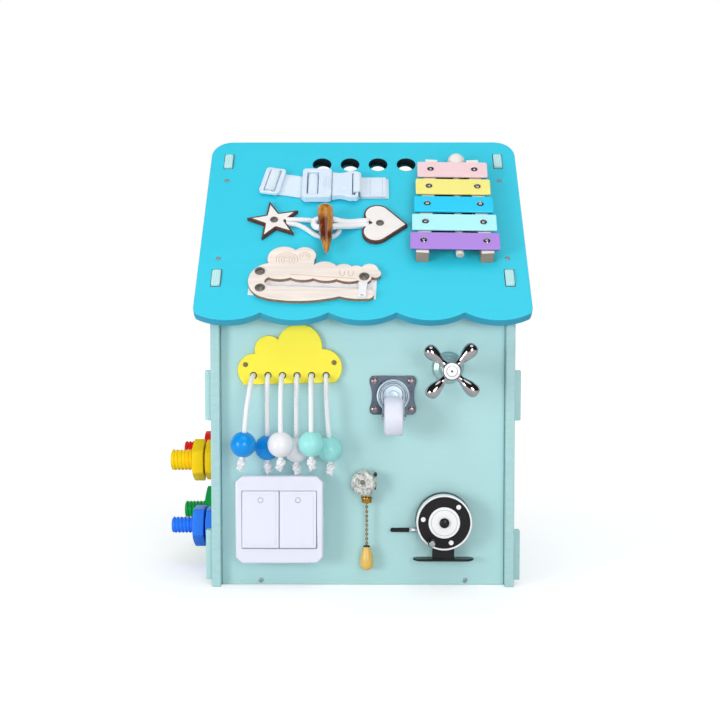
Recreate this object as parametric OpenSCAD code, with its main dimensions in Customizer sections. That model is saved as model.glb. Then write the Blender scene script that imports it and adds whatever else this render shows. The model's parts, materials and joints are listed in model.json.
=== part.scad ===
// House-shaped wooden busy board: a plywood cube with a pitched roof and play fittings.
// Origin: middle of the footprint on the ground. X is left to right, the play front faces -Y, Z is up.

/* [House] */
// Width over the outer faces of the two side walls
house_w = 300; // [290:5:370]
// Depth of the side walls
house_d = 300; // [280:5:370]
// Height of a side wall at its front edge
wall_h = 276.7; // [270:0.1:340]
// Thickness of every board
board_t = 9; // [8:0.5:12]
// How far the front and back walls are set in from the side walls' edges
wall_inset = 10; // [6:1:16]
// How far wall tabs stand out of the side walls
tab_proud = 7; // [3:0.5:12]
// Height of one wall tab
tab_h = 50; // [30:1:60]
// Heights of the lower edges of the two wall tabs
tab_z = [5, 165]; // [5:1:200]
// Clearance around a tab in its slot
slot_gap = 0.2; // [0.1:0.05:0.4]

/* [Roof] */
// Slope of each roof panel in degrees
roof_slope = 48.2; // [46:0.1:50]
// How far a roof panel stands out past a side wall
roof_side = 15; // [12:1:30]
// How far the lobe tips stand out past the side walls' front edges
eave = 22; // [18:1:34]
// Number of lobes along an eave
lobes = 5; // [4:1:7]
// Depth of the cusps between the lobes
lobe_depth = 10; // [6:1:14]
// Radius of the upper corners of a roof panel
roof_corner_r = 22; // [10:1:30]
// Radius of the lower corners of a roof panel
eave_corner_r = 18; // [10:1:24]
// Diameter of the round holes under the ridge
peep_d = 20; // [14:1:24]
// Spacing of the round holes
peep_pitch = 30.3; // [26:0.1:40]
// Distance of the round holes from the ridge, down the slope
peep_s = 36.3; // [30:0.1:40]
// Distances of the roof tabs from the ridge, down the slope
roof_tab_s = [32, 203]; // [20:1:220]
// Length of a roof tab
roof_tab_len = 22; // [12:1:30]
// How far a roof tab stands out of the roof
roof_tab_proud = 1; // [0.5:0.5:3]

/* [Screws] */
// Head diameter of the small wood screws
wood_head_d = 5; // [4:0.5:6]
// Shank diameter of the small wood screws
wood_shank_d = 3; // [2:0.5:3.5]
// Length of a small wood screw's shank
wood_shank_l = 16; // [14:1:20]
// Head diameter of the big pan screws
pan_head_d = 10; // [8:0.5:11]
// Head diameter of the xylophone and caster screws
bar_head_d = 7; // [6:0.5:8]
// Shank diameter of the pan screws
pan_shank_d = 3.6; // [3:0.2:4]
// Radial clearance of a pan screw's hole
screw_clear = 0.3; // [0.2:0.1:0.6]

/* [Cloud and beads] */
// Thickness of the cloud
cloud_t = 5; // [4:0.5:8]
// Diameter of the holes that the bead cords pass through
cord_hole_d = 6; // [5.6:0.1:7]
// Diameter of a bead cord
cord_d = 4.8; // [4:0.1:5.2]
// Diameter of a bead
bead_d = 25; // [20:0.5:25]
// Diameter of the hole through a bead
bead_bore_d = 5.6; // [5.4:0.1:7]

/* [Rocker switch] */
// Width and height of the switch plate
plate_size = [86, 86.5]; // [84:0.5:92]
// Thickness of the switch plate
plate_t = 8; // [7:0.5:9]
// Depth of the surface box behind the plate
box_depth = 17; // [15:0.5:20]
// Width and height of one rocker
rocker_size = [36, 55.6]; // [30:0.2:56]
// Tilt of a rocker to either side, in degrees
rocker_tilt = 3.5; // [2:0.5:3.5]

/* [Caster] */
// Diameter of the caster wheel
wheel_d = 38; // [31:1:38]
// Width of the caster wheel
wheel_w = 18.2; // [14:0.2:20]
// Distance of the wheel's axle from the swivel axis
caster_trail = 18.3; // [15:0.1:19]
// Distance of the wheel's axle from the wall
caster_reach = 31; // [30:0.5:34]
// Diameter of the wheel's axle
caster_axle_d = 4; // [3:0.5:5]

/* [Tap handle] */
// Diameter of the flange on the wall
tap_flange_d = 32; // [26:1:36]
// Distance of the arms from the wall
tap_reach = 52; // [50:1:56]
// Distance of the round arm ends from the tap's axis
tap_arm = 27; // [24:0.5:30]
// Diameter of a round arm end
tap_bulb_d = 12; // [9:0.5:13]
// Diameter of the spindle
tap_spindle_d = 10; // [8:0.5:12]

/* [Pull switch] */
// Diameter of the switch body
pull_body_d = 26; // [22:1:30]
// Depth of the switch body
pull_body_t = 18; // [16:1:22]
// Diameter of one ball of the chain
chain_ball_d = 3.2; // [2.4:0.2:3.6]
// Spacing of the chain's balls
chain_pitch = 4.5; // [4:0.1:5]
// Diameter of the wooden pull
pull_d = 13; // [10:0.5:14]

/* [Line reel] */
// Diameter of the reel's rear flange
reel_d = 55.2; // [50:0.2:60]
// Diameter of the turning front
spool_d = 54.4; // [48:0.2:58]
// Depth of the turning front
spool_t = 12; // [10:0.5:14]
// Diameter of the reel's axle
reel_axle_d = 6; // [5:0.5:8]
// Length of the reel's foot
reel_foot_l = 60; // [50:1:70]

/* [Strap and buckle] */
// Width of the webbing
web_w = 32; // [25:1:34]
// Thickness of the webbing
web_t = 1.5; // [1:0.1:1.8]
// Width of the buckle socket across the strap
socket_w = 43.7; // [40:0.1:48]
// Thickness of the buckle socket
socket_t = 7.9; // [7.5:0.1:9]

/* [Star, heart, toggle and crocodile] */
// Distance of the star's points from its middle
star_r = 28.3; // [24:0.1:32]
// Thickness of the star and the heart
charm_t = 4.5; // [3:0.5:6]
// Radius of the heart's two round lobes
heart_r = 14; // [12:0.5:15]
// Distance from the heart's lobes to its tip
heart_l = 32; // [28:1:36]
// Length of the toggle
toggle_l = 70; // [60:1:76]
// Radius of the toggle's thick end
toggle_r = 8; // [7.6:0.1:9]
// Diameter of the loop cord
loop_d = 5; // [4:0.2:5]
// Diameter of the toggle's own cord
toggle_cord_d = 6.4; // [5:0.2:6.4]
// Thickness of the crocodile
croc_t = 5; // [4:0.5:6]
// Thickness of the zip tape
tape_t = 0.9; // [0.5:0.1:1.2]

/* [Xylophone] */
// Number of bars
bars = 5; // [3:1:5]
// Width of a bar, down the slope
bar_w = 22.3; // [18:0.1:24]
// Spacing of the bars
bar_pitch = 26.2; // [25.5:0.1:27]
// Length of the shortest bar
bar_l = 73.5; // [66:0.5:80]
// Added length from one bar to the next
bar_step = 4; // [2:0.5:5]
// Thickness of a bar
bar_t = 3; // [2:0.5:4]
// Height of the rails
rail_h = 14; // [13.6:0.2:17]
// Width of a rail
rail_w = 13; // [10:0.5:15]
// Radius of the mallet's ball
mallet_r = 9.2; // [9:0.1:10]
// Radius of the mallet's stick
stick_r = 4; // [3:0.1:4.2]

/* [Toy bolts] */
// Thickness of a bolt's head
bolt_head_t = 18.3; // [14:0.1:20]
// Thickness of a nut
nut_t = 14.2; // [10:0.1:16]
// Total reach of a bolt from the wall
bolt_reach = 53.5; // [45:0.5:60]
// Spacing between the two columns of bolts
bolt_pitch = 90; // [80:1:110]

/* [Hidden] */
$fn = 64;

// Board layout that follows from the sizes above
inner_w = house_w - 2 * board_t;
roof_w = house_w + 2 * roof_side;
wall_y = house_d / 2 - wall_inset;
ridge_z = wall_h + house_d / 2 * tan(roof_slope) + board_t / cos(roof_slope);
roof_len = (house_d / 2 + eave) / cos(roof_slope);
under_roof = 0.5;
wall_top = wall_h + wall_inset * tan(roof_slope) - under_roof;
past = 1;
run_gap = 0.05;
face_gap = 0.3;

// Items on the front keep their distance to the middle or to the side wall next to them
left_x = -inner_w / 2;
right_x = inner_w / 2;
peep_x = 1;
roof_screw_s = [62.5, 176.5];
foot_screw_x = 102;
stud = [-135.5, 218];

cloud_x = left_x + 141;
cloud_screws = [[-115.8, 221.1], [-28.4, 223.1]];
cord_hole = [-108, 210.3];
cord_pitch = 14.36;
cloud_disks = [[-106.8, 215.3, 16.8], [-93, 235.8, 13.8], [-62.6, 238.4, 22.5], [-39, 218, 18.5]];
cloud_fill = [[-118.9, 201], [-26, 203.4], [-38, 232], [-62, 245], [-93, 242], [-112, 226]];
cloud_floor = [[-130, 200.7], [-10, 203.8], [-10, 270], [-130, 270]];

// Bead centres with the sideways lean of their strand per unit of height
bead_blue_front = [-115, -178, 146, 0.1];
bead_blue_rear = [-93.6, -156, 140, 0];
bead_white_front = [-79, -178, 146, 0];
bead_white_rear = [-65, -156, 138, 0];
bead_mint_front = [-49.6, -178, 146.5, 0];
bead_mint_rear = [-32.5, -156, 138.5, -0.06];
knot_r = 5;
cord_sides = 10;

// Routes of the three bead cords: knot, bead, hole, bend inside the house, hole, bead, knot
route_blue = [[-117.2, -178, 123.5], [-117, -178, 125.5], [-116.8, -178, 128], [-116.6, -178, 130.5],
    [-116.4, -178, 132.5], [-115, -178, 146], [-113.6, -178, 160], [-112.2, -178, 174],
    [-111.4, -177.5, 182], [-110, -174.5, 192], [-109, -168.5, 201], [-108.3, -160, 207.5],
    [-108, -151, 210.2], [-108, -143, 210.3], [-108, -133, 210.3], [-109.2, -125, 210.3],
    [-110.8, -117, 210.3], [-108.5, -109.5, 210.3], [-100.8, -106, 210.3], [-93.2, -109.5, 210.3],
    [-90.8, -117, 210.3], [-92.4, -125, 210.3], [-93.6, -133, 210.3], [-93.6, -143, 210.3],
    [-93.6, -147.5, 209.4], [-93.6, -151.5, 206.8], [-93.6, -154.3, 203], [-93.6, -155.7, 198],
    [-93.6, -156, 192], [-93.6, -156, 180], [-93.6, -156, 167], [-93.6, -156, 153],
    [-93.6, -156, 140], [-93.6, -156, 126.5], [-93.6, -156, 124.5], [-93.6, -156, 122],
    [-93.6, -156, 119.5], [-93.6, -156, 117.5]];
route_white = [[-79, -178, 123.5], [-79, -178, 125.5], [-79, -178, 128], [-79, -178, 130.5],
    [-79, -178, 132.5], [-79, -178, 146], [-79, -178, 160], [-79, -178, 174], [-79, -177.5, 182],
    [-79.1, -174.5, 192], [-79.2, -168.5, 201], [-79.3, -160, 207.5], [-79.3, -151, 210.2],
    [-79.3, -143, 210.3], [-79.3, -133, 210.3], [-80.5, -125, 210.3], [-82.1, -117, 210.3],
    [-79.8, -109.5, 210.3], [-72.1, -106, 210.3], [-64.5, -109.5, 210.3], [-62.1, -117, 210.3],
    [-63.7, -125, 210.3], [-64.9, -133, 210.3], [-64.9, -143, 210.3], [-64.9, -147.5, 209.4],
    [-64.9, -151.5, 206.8], [-65, -154.3, 203], [-65, -155.7, 198], [-65, -156, 192],
    [-65, -156, 180], [-65, -156, 167], [-65, -156, 152], [-65, -156, 138], [-65, -156, 124.5],
    [-65, -156, 122.5], [-65, -156, 120], [-65, -156, 117.5], [-65, -156, 115.5]];
route_mint = [[-49.6, -178, 124], [-49.6, -178, 126], [-49.6, -178, 128.5], [-49.6, -178, 131],
    [-49.6, -178, 133], [-49.6, -178, 146.5], [-49.6, -178, 160], [-49.6, -178, 174],
    [-49.7, -177.5, 182], [-49.9, -174.5, 192], [-50.2, -168.5, 201], [-50.5, -160, 207.5],
    [-50.6, -151, 210.2], [-50.6, -143, 210.3], [-50.6, -133, 210.3], [-51.8, -125, 210.3],
    [-53.4, -117, 210.3], [-51.1, -109.5, 210.3], [-43.4, -106, 210.3], [-35.8, -109.5, 210.3],
    [-33.4, -117, 210.3], [-35, -125, 210.3], [-36.2, -133, 210.3], [-36.2, -143, 210.3],
    [-36.2, -147.5, 209.4], [-36.1, -151.5, 206.8], [-36, -154.3, 203], [-35.9, -155.7, 198],
    [-35.7, -156, 192], [-35, -156, 180], [-34.2, -156, 167], [-33.3, -156, 152.5],
    [-32.5, -156, 138.5], [-31.7, -156, 125], [-31.5, -156, 123], [-31.4, -156, 120.5],
    [-31.2, -156, 118], [-31.1, -156, 116]];

// Rocker switch: middle of its plate, measured from the left wall and the ground
switch_at = [left_x + 59.4, 70.1];
plate_r = 5;
box_in = 4;
box_wall = 2.5;
rocker_gap_x = 0.4;
rocker_gap_z = 0.7;
rocker_split = 0.6;
rocker_t = 5;
pin_r = 1.5;
pin_back = 6.9;
stem_w = 20;
ear_t = 2.4;

// Caster: swivel axis on the wall
caster_at = [29.9, 190.5];
caster_plate_size = [46.4, 38.7];
caster_plate_t = 2;
caster_screws = [18.15, 14.1];
race_r = 16.3;
king_r = 3;
fork_t = 1.2;
fork_gap = 0.6;

tap_at = [right_x - 56.7, 217.9];
tap_turn = 47.5;
tap_hub_r = 9.3;
tap_cap_r = 7.9;

pull_at = [1.2, 104.6];
chain_x = 3.9;
chain_out = 9.5;
chain_top = 95;
chain_end = 39.5;
chain_bore_r = 2.2;
nut_z = [84.6, 91.3];

reel_at = [right_x - 61.2, 67.2];
reel_base = 6;
reel_flange_t = 6;
knob_r = 3.9;
knob_at = 22;
knob_angle = 235;
knob_l = 12;
knob_pin_r = 1.5;

socket_x = [-64, -33];
socket_s = 76;
plug_s = 77;
bar_slot = 3.3;
bar_d = 5.5;
web_lift = 0.3;
frame_lift = 2.6;
slider_at = [-96, 68];
slider_size = [21.6, 38.5];
strap_turn = -11;
right_web_s = 75.8;
right_web_w = web_w - 2;
right_web_end = 27;

star_at = [-91.6, 125.9];
star_turn = 102.2;
star_inner = 0.4;
heart_at = [14, 130.4];
heart_turn = -4;
heart_apart = 12.6;
toggle_at = [-38.8, 108.4];
toggle_turn = 2.6;
toggle_lift = 13.4;
toggle_holes = [24, 37];
toggle_profile = [[0, 0], [6.4, 0], [7.6, 1], [8, 4], [8, 19], [7.5, 30], [6.6, 40], [5.2, 50],
    [3.8, 60], [2.6, 67], [1.4, 69.6], [0, 70]];
route_loop = [[-79, 124, 2.7], [-70, 124, 2.7], [-60, 124.4, 2.7], [-50, 125.6, 2.7],
    [-40, 126.6, 2.7], [-32, 127.6, 2.7], [-26.5, 131, 2.7], [-24, 138, 2.7], [-26.5, 145, 2.7],
    [-32, 149, 2.7], [-40, 149.6, 2.7], [-48, 146.5, 2.7], [-55, 140.5, 2.7], [-62, 134.8, 2.7],
    [-69, 131, 2.7], [-77.5, 129.8, 2.7]];
route_toggle = [[3.5, 126.2, 3.6], [-5, 126.4, 3.9], [-12, 128, 5.6], [-18, 130, 8.2],
    [-24, 131.6, 10.8], [-29, 132.2, 12.8], [-34, 132.4, 13.4], [-44, 132.4, 13.4],
    [-48.5, 133, 13.4], [-50.6, 135.6, 13.4], [-51, 138.9, 13.4], [-50.6, 142.2, 13.4],
    [-48.5, 144.8, 13.4], [-44, 145.4, 13.4], [-34, 145.4, 13.4], [-29, 144.8, 12.8],
    [-24, 143, 10.8], [-18, 139.8, 8.2], [-12, 136.4, 5.6], [-5, 133.8, 3.9], [3.5, 133.2, 3.6]];

// Crocodile: its own flat frame, with the mouth along X
croc_at = [-48, 212];
croc_turn = -2.6;
croc_screws = [[-54.4, 9.9], [-52.1, -12], [49.1, 7.4]];
jaw_edge = -8.5;
teeth_edge = 3.5;
teeth_depth = 2.8;
teeth_pitch = 22.8;
zip_v = -3.9;
zip_start = 48.2;
tape_size = [125.5, 26];
zip_half = [4.5, 3.8];

xylo_at = [94.2, 63];
xylo_turn = -1.1;
rail_top = 18.4;
rail_end = -119.6;
rail_spread = 4.6;
screw_half = 23;
screw_step = 2.12;
mallet_u = 4.9;
mallet_h = mallet_r + 0.2;

// Toy bolts: colour, sides, corner radius, thread radius, column and height
bolt_x = 68;
bolt_z = [115.5, 46];
nut_fit = 0.08;
nut_face_gap = 0.5;
bolt_yellow = [6, 22.7, 11.2, 0, 0];
bolt_red = [48, 20, 8.6, 1, 0];
bolt_green = [3, 27, 9.7, 1, 1];
bolt_blue = [5, 23.4, 8.7, 0, 1];
head_share = 0.9;

// ---------------------------------------------------------------- places

// Front roof plane: X across, Y up the slope from the ridge line, Z out of the roof
module on_roof() translate([0, 0, ridge_z]) rotate([roof_slope, 0, 0]) children();

// Point on the front roof given by its distance down the slope
module roof_at(p, h = 0) on_roof() translate([p[0], -p[1], h]) children();

// Front wall: X across, Y up, Z out of the wall
module on_wall() translate([0, -wall_y, 0]) rotate([90, 0, 0]) children();

module wall_at(p, out = 0) on_wall() translate([p[0], p[1], out]) children();

// Left wall: X towards the front, Y up, Z out of the wall
module on_left() translate([-house_w / 2, 0, 0]) rotate([90, 0, -90]) children();

// ---------------------------------------------------------------- shapes

module round_rect(w, h, r) {
    square([w, h - 2 * r], center = true);
    square([w - 2 * r, h], center = true);
    for (x = [-1, 1]) for (y = [-1, 1]) translate([x * (w / 2 - r), y * (h / 2 - r)]) circle(r);
}

// Part of a disk inside the box from low to high
module disk_part(c, r, low, high) {
    intersection() {
        translate(c) circle(r, $fn = 128);
        translate(low) square(high - low);
    }
}

// Row of shallow arcs that hang below the line y = 0
module arc_row(n, pitch, depth) {
    r = (pitch * pitch / 4 + depth * depth) / (2 * depth);
    for (i = [0:n - 1])
        disk_part([(i + 0.5) * pitch, r - depth], r, [i * pitch, -depth - past], [(i + 1) * pitch, past]);
}

// Wedge between a disk and a point, bounded by the two tangents
module disk_to_point(c, r, tip) {
    d = norm(tip - c);
    a = atan2(tip[1] - c[1], tip[0] - c[0]);
    b = acos(r / d);
    translate(c) circle(r);
    polygon([c, c + r * [cos(a - b), sin(a - b)], tip, c + r * [cos(a + b), sin(a + b)]]);
}

function unit(v) = v / norm(v);
function tangent(p, i) = unit(p[min(i + 1, len(p) - 1)] - p[max(i - 1, 0)]);
function across(t) = abs(t[0]) < 0.9 ? unit(cross(t, [1, 0, 0])) : unit(cross(t, [0, 1, 0]));
function carried(n, t) = unit(n - t * (n * t));
function side_dirs(p) = [for (i = 0, n = across(tangent(p, 0)); i < len(p); i = i + 1,
    n = i < len(p) ? carried(n, tangent(p, i)) : n) n];

// Tube along a list of points, with one radius per point
module swept_tube(p, r, sides) {
    n = side_dirs(p);
    turn = 360 / sides;
    points = [for (i = [0:len(p) - 1]) let (t = tangent(p, i), b = cross(t, n[i]))
        for (k = [0:sides - 1]) p[i] + r[i] * (n[i] * cos(k * turn) + b * sin(k * turn))];
    last = (len(p) - 1) * sides;
    walls = [for (i = [0:len(p) - 2]) for (k = [0:sides - 1])
        let (a = i * sides + k, b = i * sides + (k + 1) % sides)
        for (f = [[a, a + sides, b + sides], [a, b + sides, b]]) f];
    caps = [[for (k = [0:sides - 1]) k], [for (k = [sides - 1:-1:0]) last + k]];
    polyhedron(points = points, faces = concat(caps, walls), convexity = 6);
}

// Radii of a bead cord: a knot at each end and the plain cord between
function knotted(n) = [for (i = [0:n - 1]) let (e = min(i, n - 1 - i))
    e == 0 ? 0.55 * knot_r : e == 1 ? 0.9 * knot_r : e == 2 ? knot_r : e == 3 ? 0.8 * knot_r : cord_d / 2];

// Web of constant thickness along a profile of distance and height, w wide
function seg_normal(p, i) = let (d = unit(p[i + 1] - p[i])) [-d[1], d[0]];
function miter(p, i) = i == 0 ? seg_normal(p, 0) : i == len(p) - 1 ? seg_normal(p, i - 1)
    : let (a = seg_normal(p, i - 1), b = seg_normal(p, i)) (a + b) / (1 + a * b);

module ribbon(p, t, w) {
    n = len(p) - 1;
    upper = [for (i = [0:n]) p[i] + miter(p, i) * t / 2];
    lower = [for (i = [n:-1:0]) p[i] - miter(p, i) * t / 2];
    rotate([90, 0, 0]) linear_extrude(w, center = true) polygon(concat(upper, lower));
}

// Screw with a domed head on the plane z = 0 and its shank below
module screw(head_d, shank_d, shank_l) {
    head_h = head_d * 0.22;
    difference() {
        union() {
            cylinder(h = head_h / 2, d = head_d);
            translate([0, 0, head_h / 2]) cylinder(h = head_h / 2, d1 = head_d, d2 = head_d * 0.6);
        }
        for (a = [0, 90]) rotate(a) translate([-head_d * 0.3, -head_d * 0.06, head_h * 0.4])
            cube([head_d * 0.6, head_d * 0.12, head_h]);
    }
    translate([0, 0, -shank_l]) cylinder(h = shank_l, d = shank_d);
}

// ---------------------------------------------------------------- house

module gable_shape() {
    half = house_d / 2;
    polygon([[-half, 0], [half, 0], [half, wall_h], [0, wall_h + half * tan(roof_slope)],
        [-half, wall_h]]);
}

module roof_tabs(grow) {
    for (s = roof_tab_s) translate([-board_t / 2 - grow, -s - roof_tab_len / 2 - grow, -board_t - past])
        cube([board_t + 2 * grow, roof_tab_len + 2 * grow, board_t + past + roof_tab_proud]);
}

// Side wall standing with its middle plane on x = 0
module side_wall() {
    difference() {
        union() {
            translate([-board_t / 2, 0, 0]) rotate([90, 0, 90]) linear_extrude(board_t) gable_shape();
            for (m = [0, 1]) mirror([0, m, 0]) on_roof() roof_tabs(0);
        }
        for (m = [0, 1]) mirror([0, m, 0]) for (z = tab_z)
            translate([-board_t, -wall_y - slot_gap, z - slot_gap])
                cube([2 * board_t, board_t + 2 * slot_gap, tab_h + 2 * slot_gap]);
    }
}

module left_wall() color("#a9dcdc") translate([-(house_w - board_t) / 2, 0, 0]) side_wall();

module right_wall() color("#a9dcdc") translate([(house_w - board_t) / 2, 0, 0]) side_wall();

// Wall board between the side walls, with tabs that pass through them
module cross_wall_shape() {
    translate([-inner_w / 2, 0]) square([inner_w, wall_top]);
    for (z = tab_z) translate([-house_w / 2 - tab_proud, z]) square([house_w + 2 * tab_proud, tab_h]);
}

module front_wall() color("#b1dfe0") on_wall() translate([0, 0, -board_t]) difference() {
    linear_extrude(board_t) cross_wall_shape();
    for (i = [0:5]) translate([cord_hole[0] + cloud_x + i * cord_pitch, cord_hole[1], -past])
        cylinder(h = board_t + 2 * past, d = cord_hole_d);
    translate([tap_at[0], tap_at[1], -past])
        cylinder(h = board_t + 2 * past, d = tap_spindle_d + 2 * screw_clear);
}

module back_wall() color("#b1dfe0") mirror([0, 1, 0]) on_wall() translate([0, 0, -board_t])
    linear_extrude(board_t) cross_wall_shape();

module floor_board() color("#b1dfe0") translate([-inner_w / 2, -wall_y + board_t, 0])
    cube([inner_w, 2 * (wall_y - board_t), board_t]);

// Roof panel outline: Y runs up the slope, the ridge edge lies on y = 0
module roof_shape() {
    cusp_s = roof_len - lobe_depth;
    intersection() {
        union() {
            translate([-roof_w / 2, -cusp_s]) square([roof_w, cusp_s]);
            translate([-roof_w / 2, -cusp_s]) arc_row(lobes, roof_w / lobes, lobe_depth);
        }
        translate([0, -roof_len / 2]) round_rect(roof_w, roof_len, eave_corner_r);
        translate([0, -roof_len / 2 - roof_corner_r])
            round_rect(roof_w, roof_len + 2 * roof_corner_r, roof_corner_r);
    }
}

module roof_panel() {
    difference() {
        translate([0, 0, -board_t]) linear_extrude(board_t) roof_shape();
        for (i = [0:3]) translate([peep_x + (i - 1.5) * peep_pitch, -peep_s, -board_t - past])
            cylinder(h = board_t + 2 * past, d = peep_d);
        for (m = [-1, 1]) translate([m * (house_w - board_t) / 2, 0, 0]) roof_tabs(slot_gap);
    }
}

module front_roof() color("#45d4ee") on_roof() roof_panel();

// The back panel stops against the inner face of the front panel
module back_roof() color("#45d4ee") difference() {
    mirror([0, 1, 0]) on_roof() roof_panel();
    on_roof() translate([-roof_w, -roof_len, -board_t]) cube([2 * roof_w, 2 * roof_len, roof_len]);
}

module small_screw() screw(wood_head_d, wood_shank_d, wood_shank_l);

module wood_screws() color("#8f8880") {
    for (m = [0, 1]) mirror([0, m, 0]) {
        for (x = [-1, 1]) for (s = roof_screw_s)
            roof_at([x * (house_w - board_t) / 2, s]) small_screw();
        for (x = [-1, 1]) wall_at([x * foot_screw_x, board_t / 2]) small_screw();
    }
    for (p = cloud_screws) wall_at([p[0] + cloud_x, p[1]], cloud_t)
        screw(wood_head_d, wood_shank_d, cloud_t + board_t - past);
    translate([house_w / 2, stud[0], stud[1]]) rotate([0, 90, 0]) small_screw();
}

// ---------------------------------------------------------------- cloud, cords and beads

module cloud() color("#fff03c") translate([cloud_x, 0, 0]) on_wall() difference() {
    linear_extrude(cloud_t) intersection() {
        union() {
            for (c = cloud_disks) translate([c[0], c[1]]) circle(c[2]);
            polygon(cloud_fill);
        }
        polygon(cloud_floor);
    }
    for (i = [0:5]) translate([cord_hole[0] + i * cord_pitch, cord_hole[1], -past])
        cylinder(h = cloud_t + 2 * past, d = cord_hole_d);
}

module bead_cord(route) color("#f6f6f6") translate([cloud_x, 150 - house_d / 2, 0])
    swept_tube(route, knotted(len(route)), cord_sides);

module cord_blue() bead_cord(route_blue);

module cord_white() bead_cord(route_white);

module cord_mint() bead_cord(route_mint);

module bead(b) translate([b[0] + cloud_x, b[1] + 150 - house_d / 2, b[2]]) rotate([0, atan(b[3]), 0])
    difference() {
        sphere(d = bead_d);
        cylinder(h = bead_d + past, d = bead_bore_d, center = true);
    }

module blue_bead_front() color("#2f8fe0") bead(bead_blue_front);

module blue_bead_rear() color("#2f8fe0") bead(bead_blue_rear);

module white_bead_front() color("#f4f2f2") bead(bead_white_front);

module white_bead_rear() color("#f4f2f2") bead(bead_white_rear);

module mint_bead_front() color("#8fe3cf") bead(bead_mint_front);

module mint_bead_rear() color("#8fe3cf") bead(bead_mint_rear);

// ---------------------------------------------------------------- rocker switch

window = [2 * rocker_size[0] + rocker_split + 2 * rocker_gap_x, rocker_size[1] + 2 * rocker_gap_z];
pin_out = box_depth + plate_t - pin_back;
rocker_x = (rocker_size[0] + rocker_split) / 2;

module switch_box() color("#e9e9ee") wall_at(switch_at) difference() {
    union() {
        difference() {
            linear_extrude(box_depth)
                round_rect(plate_size[0] - 2 * box_in, plate_size[1] - 2 * box_in, plate_r - 1);
            translate([0, 0, box_wall]) linear_extrude(box_depth)
                square([window[0] + 0.2, plate_size[1] - 2 * box_in - 2 * box_wall], center = true);
        }
        for (r = [-1, 1]) for (e = [-1, 1])
            translate([r * rocker_x + e * (stem_w / 2 + fork_gap + ear_t / 2), 0, pin_out / 2 + 1])
                cube([ear_t, 9, pin_out], center = true);
    }
    translate([0, 0, pin_out]) rotate([0, 90, 0])
        cylinder(h = window[0] - 2, r = pin_r + run_gap, center = true);
}

module switch_plate() color("#f3f3f8") wall_at(switch_at, box_depth) difference() {
    linear_extrude(plate_t) round_rect(plate_size[0], plate_size[1], plate_r);
    translate([0, 0, -past]) linear_extrude(plate_t + 2 * past) square(window, center = true);
}

// Rocker that turns on the pin line, lower edge out at rest
module rocker(side) color("#f6f6fb") wall_at(switch_at) translate([side * rocker_x, 0, pin_out])
    rotate([-rocker_tilt, 0, 0]) {
        translate([0, 0, pin_back - rocker_t / 2 + 0.4])
            cube([rocker_size[0], rocker_size[1], rocker_t], center = true);
        translate([0, 0, (pin_back - rocker_t) / 2]) cube([stem_w, 7, pin_back - rocker_t + 3], center = true);
        rotate([0, 90, 0]) cylinder(h = stem_w + 2 * (fork_gap + ear_t), r = pin_r, center = true);
    }

module left_rocker() rocker(-1);

module right_rocker() rocker(1);

// ---------------------------------------------------------------- caster

fork_in = wheel_w / 2 + fork_gap;

module caster_plate() color("#9aa1ad") wall_at(caster_at) difference() {
    union() {
        linear_extrude(caster_plate_t) difference() {
            round_rect(caster_plate_size[0], caster_plate_size[1], 4.5);
            for (m = [-1, 1]) translate([m * (caster_plate_size[0] / 2 + 30), 0]) circle(32.4);
        }
        cylinder(h = caster_plate_t + 3, r = race_r - 4);
        cylinder(h = caster_plate_t + 7.5, r = king_r);
        translate([0, 0, caster_plate_t + 6.7]) cylinder(h = 1.5, r = king_r + 2);
    }
    for (x = [-1, 1]) for (y = [-1, 1])
        translate([x * caster_screws[0], y * caster_screws[1], -past])
            cylinder(h = caster_plate_t + 2 * past, d = pan_shank_d + 2 * screw_clear);
}

module fork_leg() {
    polygon([[9, 5.6], [-13, 5.6], [-caster_trail - 4.5, caster_reach - 1],
        [-caster_trail - 3.6, caster_reach + 3], [-caster_trail, caster_reach + 4.6],
        [-caster_trail + 3.6, caster_reach + 3], [-6, 16], [8, 8.4]]);
}

module caster_fork() color("#c3ccd6") wall_at(caster_at) difference() {
    union() {
        translate([0, 0, caster_plate_t + 3 + face_gap]) cylinder(h = 3, r = race_r);
        for (m = [0, 1]) mirror([m, 0, 0]) translate([fork_in, 0, 0]) rotate([90, 0, 90])
            linear_extrude(fork_t) fork_leg();
    }
    cylinder(h = 30, r = king_r + run_gap);
    translate([0, -caster_trail, caster_reach]) rotate([0, 90, 0])
        cylinder(h = 60, d = caster_axle_d + 2 * run_gap, center = true);
}

module caster_wheel() color("#f4f4f7")
    wall_at([caster_at[0], caster_at[1] - caster_trail], caster_reach) rotate([0, 90, 0])
        difference() {
            rotate_extrude() polygon([[0, -wheel_w / 2], [wheel_d / 2 - 1.5, -wheel_w / 2],
                [wheel_d / 2, -wheel_w / 2 + 1.5], [wheel_d / 2, wheel_w / 2 - 1.5],
                [wheel_d / 2 - 1.5, wheel_w / 2], [0, wheel_w / 2]]);
            cylinder(h = wheel_w + 2, d = caster_axle_d + 2 * run_gap, center = true);
        }

module caster_axle() color("#b9bfc6")
    wall_at([caster_at[0], caster_at[1] - caster_trail], caster_reach) rotate([0, 90, 0]) {
        cylinder(h = 2 * (fork_in + fork_t), d = caster_axle_d, center = true);
        for (m = [0, 1]) mirror([0, 0, m]) translate([0, 0, fork_in + fork_t])
            cylinder(h = 0.9, d1 = caster_axle_d + 2.6, d2 = caster_axle_d + 1);
    }

// ---------------------------------------------------------------- tap handle

module tap_flange() color("#7fbfc4") wall_at(tap_at) difference() {
    rotate_extrude() polygon([[0, 0], [tap_flange_d / 2, 0], [tap_flange_d / 2, 1.5],
        [tap_flange_d / 2 - 3, 3.6], [9, 5], [7.5, 14], [0, 14]]);
    translate([0, 0, -past]) cylinder(h = 20, d = tap_spindle_d + 2 * face_gap);
}

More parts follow.
